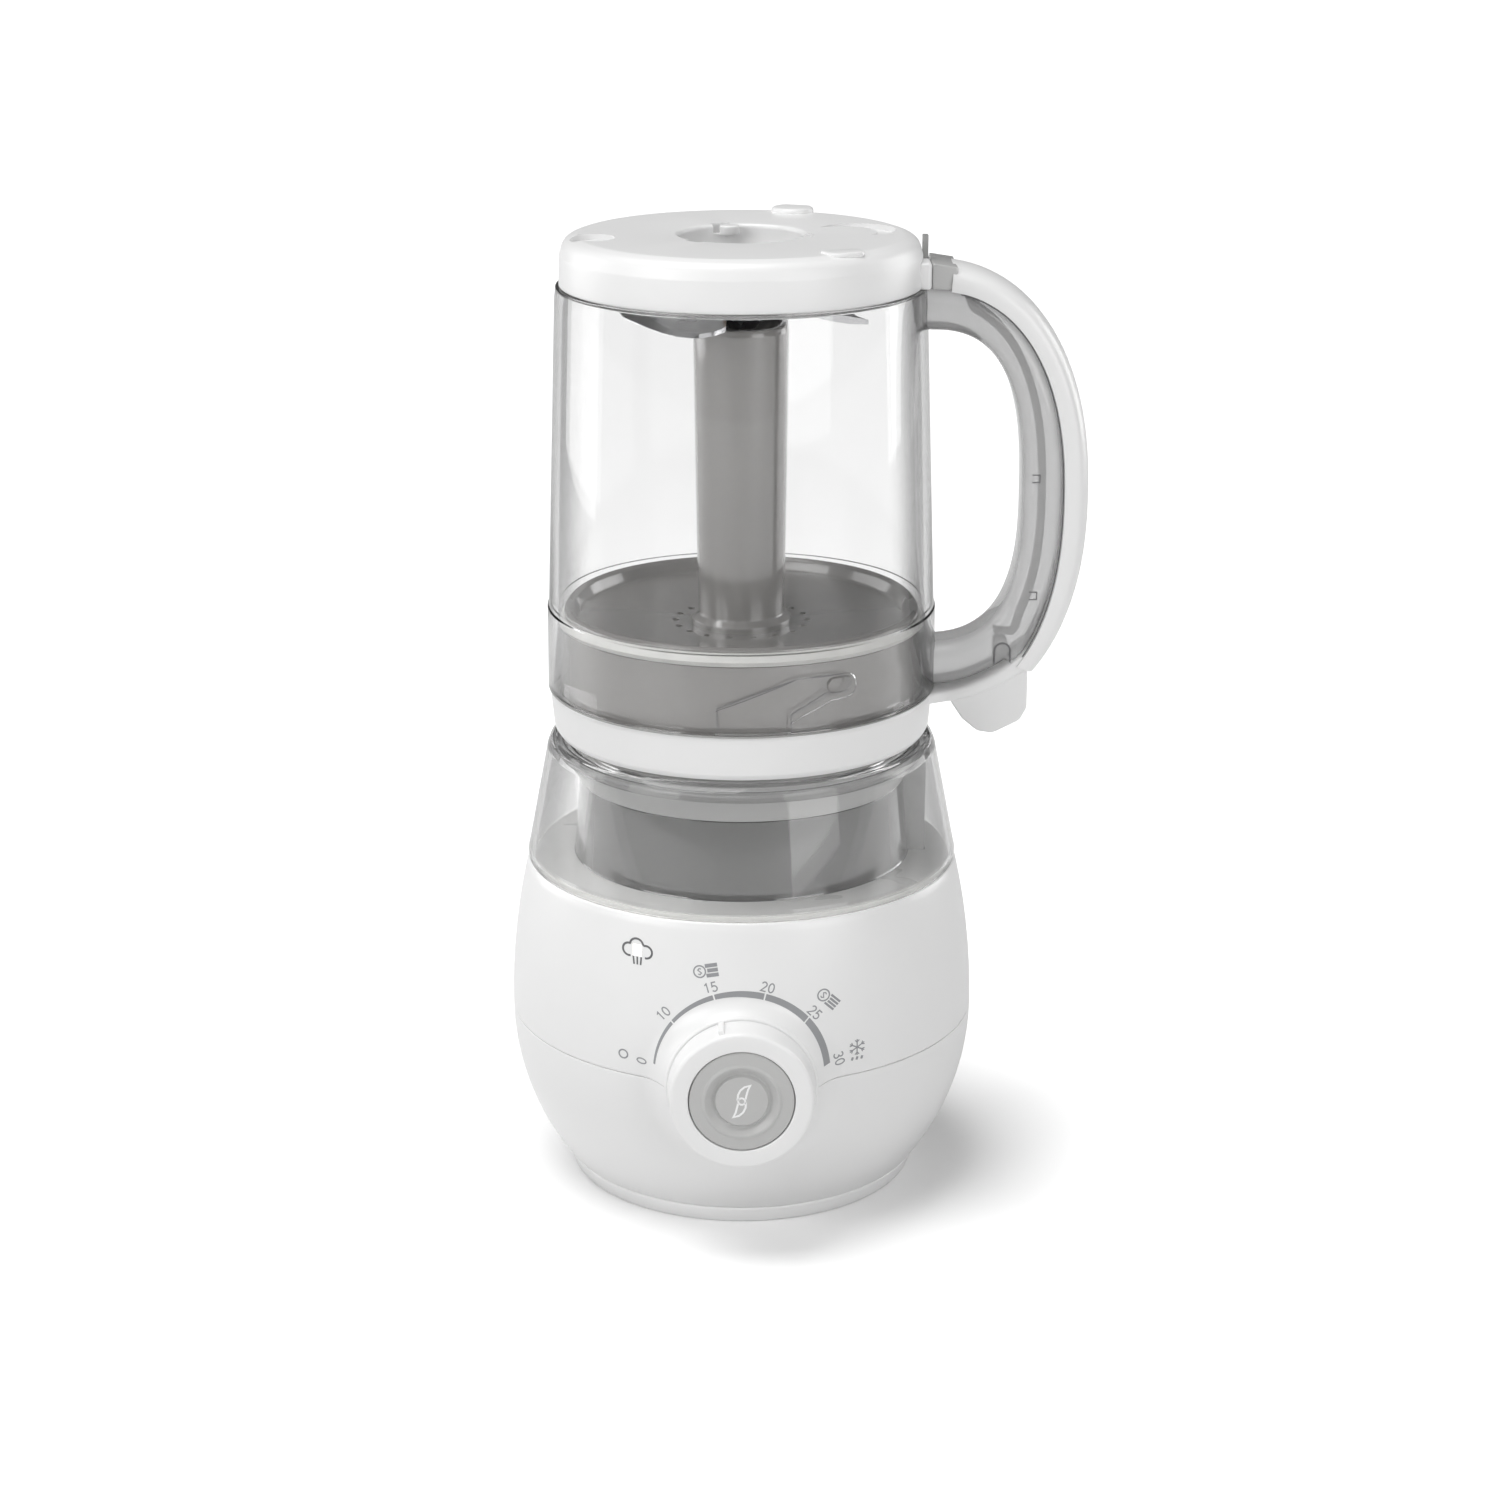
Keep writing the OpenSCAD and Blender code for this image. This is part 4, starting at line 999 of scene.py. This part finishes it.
def skin_of_jar(ring):
    """Keeps a ring's points outside the jar's wall."""
    out = []
    for x, y, z in ring:
        wall = (JAR_R if z < COLLAR_Z else jar_at(min(z, CAP_Z))) + 0.03
        least = math.sqrt(max(wall**2 - y**2, 1))
        out.append((max(x, least), y, z))
    return out


def make_handle():
    count = 72
    half = HANDLE_W / 2 - 1
    arch = [p for p in d_curve(90, -90, 29.8, 53.5, 46.5, 2.7) if p[0] > (62.5 if p[1] < HANDLE_Z else 59)]
    gap = resampled([(57, 278.5)] + arch + [(60.9, 178.5)], count)
    foot = [(x, arm_top(x) + 0.9) for x in (84, 80, 76, 72, 68, 64, 60.9)]
    seam = resampled([(57, 291.5)] + d_curve(86, -50, 42.9, 66.5, 67, 2.3) + foot, count)
    core = loft("handle_clear", [skin_of_jar(section_ring(g, s, half, 4.0)) for g, s in zip(gap, seam)])
    finish(core, "jar", "clear_plastic", HANDLE_CLEAR, "handle_core", angle=50)
    pill = [(80.1, 172.5)] + arc_points(82.6, 177, 2.5, 180, 0) + [(85.1, 173.2)]
    clips = [[(90.6, z - 1.2), (93.0, z - 1.2), (93.0, z + 1.2), (90.6, z + 1.2)] for z in CLIP_HEIGHTS]
    edge_line = d_curve(80, -46, 42.5, 66.1, 66.6, 2.3)
    marks = [(pill, 0.5), (edge_line, 0.35)] + [(clip, 0.3) for clip in clips]
    side = strokes_to_mesh("handle_marks", marks, lambda a, b, out: (a, -(half + 0.1 + out), b))
    finish(side, "jar", "clear_plastic", PRINT_DARK)
    skin = resampled(d_curve(88, -48.5, GRIP_OUT - HANDLE_X, 74.5, 72, 2.24), count)
    edge = resampled(d_curve(88, -50, 42.9, 66.5, 67, 2.3), count)
    rings = [grip_ring(e, s, HANDLE_W / 2) for e, s in zip(edge, skin)]
    rings = [r for r in rings if min(p[0] for p in r) > 62.4]
    grip = loft("grip_shell", [shrink_ring(rings[0], 0.96)] + rings + [shrink_ring(rings[-1], 0.94)])
    finish(grip, "jar", "white_plastic", WHITE, "handle_grip", angle=50)
    block_outline = rounded([(58.4, 291.6), (66.2, 291.6), (66.2, 298.6, 0.6), (58.4, 299.8, 0.6)])
    block = bevelled(prism("handle_block", block_outline, -half, half), 0.7, 3)
    finish(block, "jar", "clear_plastic", BLOCK_GRAY)


def grip_ring(edge, skin, half):
    """A D-shaped section, flat towards the core and round at the back."""
    a, b = Vector(edge), Vector(skin)
    along = b - a
    depths = (0.0, 0.08, 0.3, 0.52, 0.64, 0.74, 0.83, 0.90, 0.955, 0.99)
    widths = (0.985, 1.0, 1.0, 0.985, 0.945, 0.875, 0.77, 0.63, 0.45, 0.22)
    ring = [(a + along * d, half * w) for d, w in zip(depths, widths)]
    return [(p.x, -w, p.y) for p, w in ring] + [(b.x, 0, b.y)] + [(p.x, w, p.y) for p, w in reversed(ring)]


def make_cap():
    top = TOP_Z
    hole = CAP_HOLE_R
    outline = rounded([
        (53.6, CAP_Z, 0.3), (56.3, CAP_Z, 0.5), (56.0, 301.5, 3), (54.6, 306.0, 5), (50.5, top, 4.5),
        (hole + 0.2, top, 1.4), (hole, 299, 0.3), (21, 299), (21, 296), (hole, 296), (hole, 289.2),
        (23.4, 289.2), (23.4, top - SHELL_T), (51, top - SHELL_T), (53.6, 302)], 8)
    cap = turned("cap_shell", outline)
    notch_outline = rounded([(17, -3), (22.4, -3, 1), (22.4, 3, 1), (17, 3)])
    for turn in (-132, -12, 108):
        combine(cap, moved(prism("notch", notch_outline, top - 3, top + 2, "XY"), turn=turn))
    pocket = prism("pocket", disc(-45.2, -8.5, 7), top - 1.8, top + 5, "XY")
    combine(pocket, turned("core", [(0, 280), (37, 280), (37, 330), (0, 330)], 96))
    combine(cap, pocket)
    crescent = prism("crescent", disc(36, 8, 12, 64), top - 1.6, top + 5, "XY")
    combine(crescent, prism("bite", disc(31, 3, 11, 64), top - 5, top + 8, "XY"))
    combine(cap, crescent)
    slot = [(55.5, -2.4), (57.9, -2.4), (57.9, 2.4), (55.5, 2.4)]
    combine(cap, prism("slot", slot, CAP_Z - 1, 312, "XY"))
    finish(cap, "jar", "white_plastic", CAP_WHITE, "jar_cap", angle=38)
    lug_outline = rounded([(54.2, -12.5), (58.2, -12.5, 1.2), (58.2, 12.5, 1.2), (54.2, 12.5)])
    lug = bevelled(prism("cap_lug", lug_outline, CAP_Z, 300, "XY"), 0.9, 3)
    combine(lug, prism("slot", slot, CAP_Z - 1, 312, "XY"))
    finish(lug, "jar", "white_plastic", CAP_WHITE)
    bump_outline = rounded([(0, top - 2), (6.8, top - 2), (6.8, top + 1.6, 1.2), (0, top + 1.6)])
    bump = moved(turned("cap_bump", bump_outline, 64), (16.5, 46.2, 0))
    combine(bump, turned("keep", [(0, 280), (53.5, 280), (53.5, 330), (0, 330)], 128), "INTERSECT")
    finish(bump, "jar", "white_plastic", CAP_WHITE)
    lozenge = rounded([(22.6, -37.2, 2), (35.0, -33.0, 2), (37.0, -39.5, 2.5), (27.0, -45.0, 2.5)], 6)
    raised = bevelled(prism("cap_lozenge", lozenge, top - 1, top + 0.55, "XY"), 0.5, 3)
    finish(raised, "jar", "white_plastic", CAP_WHITE)
    boss_outline = rounded([(0, top - 3), (3.1, top - 3, 0.4), (3.1, top, 0.6), (0, top)])
    boss = moved(turned("cap_lock_boss", boss_outline, 48), (-3.6, hole - 2.0, 0))
    finish(boss, "jar", "white_plastic", CAP_WHITE)


# ---- Blade ----

def make_blades():
    """Two swept crescents with ground edges that stand on the blade's hub."""
    cutting = [(-39, 8), (-36.5, 0.5), (-31, -8), (-27, -17), (-23, -25), (-19, -30), (-15, -32.4),
               (-12.5, -33)]
    blunt = [(-39, 8), (-27, 5), (-20, 1.5), (-13, -1.5), (-9, -4), (-6.5, -8), (-4.6, -14), (-4.5, -21),
             (-8, -28.5), (-12.5, -33)]
    count = 28
    front, rear = resampled(cutting, count), resampled(blunt, count)
    rings = []
    for (fx, fy), (rx, ry) in zip(front, rear):
        f, r = Vector((fx, fy)), Vector((rx, ry))
        width = max((r - f).length, 0.4)
        ground = f.lerp(r, min(0.5, 2.6 / width))
        rings.append([(f.x, f.y, BLADE_Z + 0.15), (ground.x, ground.y, BLADE_Z + 1.35),
                      (r.x, r.y, BLADE_Z + 1.4), (r.x, r.y, BLADE_Z + 0.05), (f.x, f.y, BLADE_Z)])
    for k, turn in enumerate((0, 180)):
        arm = moved(loft(f"blade_arm_{k + 1}", rings), turn=turn)
        finish(arm, "blades", "steel", BLADE_STEEL, angle=20)
    hub = rounded([
        (0, BLADE_Z - 2), (5.4, BLADE_Z - 2, 1), (7, BLADE_Z, 0.8), (7, BLADE_Z + 3.6, 0.8),
        (3, BLADE_Z + 3.6), (3, 299), (0, 299)])
    finish(turned("blade_hub", hub, 72), "blades", "steel", STEEL, "blade_rotor")


# ---- Stage ----

LAMP_AIM = Vector((0, 0, 0.15))


def lamp(name, kind, energy, size, spot, sheen_only=False):
    """A soft lamp at a spot, turned towards the object; a sun's size is its angle in degrees.

    A lamp for the sheen only is left out of the matt light.
    """
    light = bpy.data.lights.new(name, kind)
    light.energy = energy
    if kind == "SUN":
        light.angle = math.radians(size)
    else:
        light.size = size
    lamp_object = bpy.data.objects.new(name, light)
    lamp_object.location = spot
    lamp_object.rotation_euler = (Vector(spot) - LAMP_AIM).to_track_quat("Z", "Y").to_euler()
    lamp_object.visible_diffuse = not sheen_only
    bpy.context.scene.collection.objects.link(lamp_object)


def make_floor():
    """A white floor that glows, its glow dimmed close round the object's foot as a painted shadow, and left
    out of reflections.

    Light that bounces off it finds a darker colour, so that the object isn't lit too much from below.
    """
    bpy.ops.mesh.primitive_plane_add(size=24, location=(0, 0, -0.0001))
    floor = bpy.context.object
    floor.name = "floor"
    pale = Shade("pale_floor", 0.9)
    path = pale.nodes.new("ShaderNodeLightPath")
    pale.colour(pale.between(path.outputs["Is Diffuse Ray"], (0.93, 0.93, 0.93), (0.7, 0.7, 0.7)))
    pale.rough(pale.noise(3, 2), 0.85, 0.95)
    pale.shader.inputs["Specular IOR Level"].default_value = 0.1
    pale.shader.inputs["Emission Color"].default_value = (1, 1, 1, 1)
    reach = pale.nodes.new("ShaderNodeVectorMath")
    reach.operation = "LENGTH"
    pale.links.new(pale.coords, reach.inputs[0])
    # The glow is weak within 75 mm of the axis and reaches full strength by 125 mm: a painted shadow round
    # the foot.
    glow = pale.spread(reach.outputs["Value"], 0.1, 0.42, 0.075, 0.125)
    unmirrored = pale.spread(path.outputs["Is Reflection Ray"], 1.0, 0.0)
    strength = pale.nodes.new("ShaderNodeMath")
    strength.operation = "MULTIPLY"
    pale.links.new(glow, strength.inputs[0])
    pale.links.new(unmirrored, strength.inputs[1])
    pale.links.new(strength.outputs["Value"], pale.shader.inputs["Emission Strength"])
    floor.data.materials.append(pale.material)


def make_stage():
    make_floor()
    world = bpy.data.worlds.new("studio")
    bpy.context.scene.world = world
    world.use_nodes = True
    background = world.node_tree.nodes["Background"]
    background.inputs["Color"].default_value = (1, 1, 1, 1)
    background.inputs["Strength"].default_value = 0.18
    lamp("high", "SUN", 2.1, 40, (-0.2, 0.0, 0.97))
    lamp("left", "AREA", 9.5, 0.9, (-1.2, -0.9, 0.85))
    lamp("right", "AREA", 8.5, 0.9, (1.05, -1.2, 0.6))
    lamp("left rim", "AREA", 6, 0.9, (-1.25, 0.5, 0.45), sheen_only=True)
    lamp("right rim", "AREA", 7, 0.8, (1.2, 0.6, 0.45), sheen_only=True)
    camera = bpy.data.objects.new("camera", bpy.data.cameras.new("camera"))
    camera.data.lens = 75
    camera.location = (0, -0.962, 0.4519)
    camera.rotation_euler = (math.radians(90 - 17.935), 0, math.radians(-0.165))
    bpy.context.scene.collection.objects.link(camera)
    bpy.context.scene.camera = camera
    bpy.context.scene.view_settings.view_transform = "Standard"


make_stage()
dress_cad_nodes()
make_housings()
make_foot()
make_tank()
make_tower()
make_knob()
make_button()
make_prints()
make_lid()
make_tube()
make_ring()
make_jar()
make_handle()
make_cap()
make_blades()
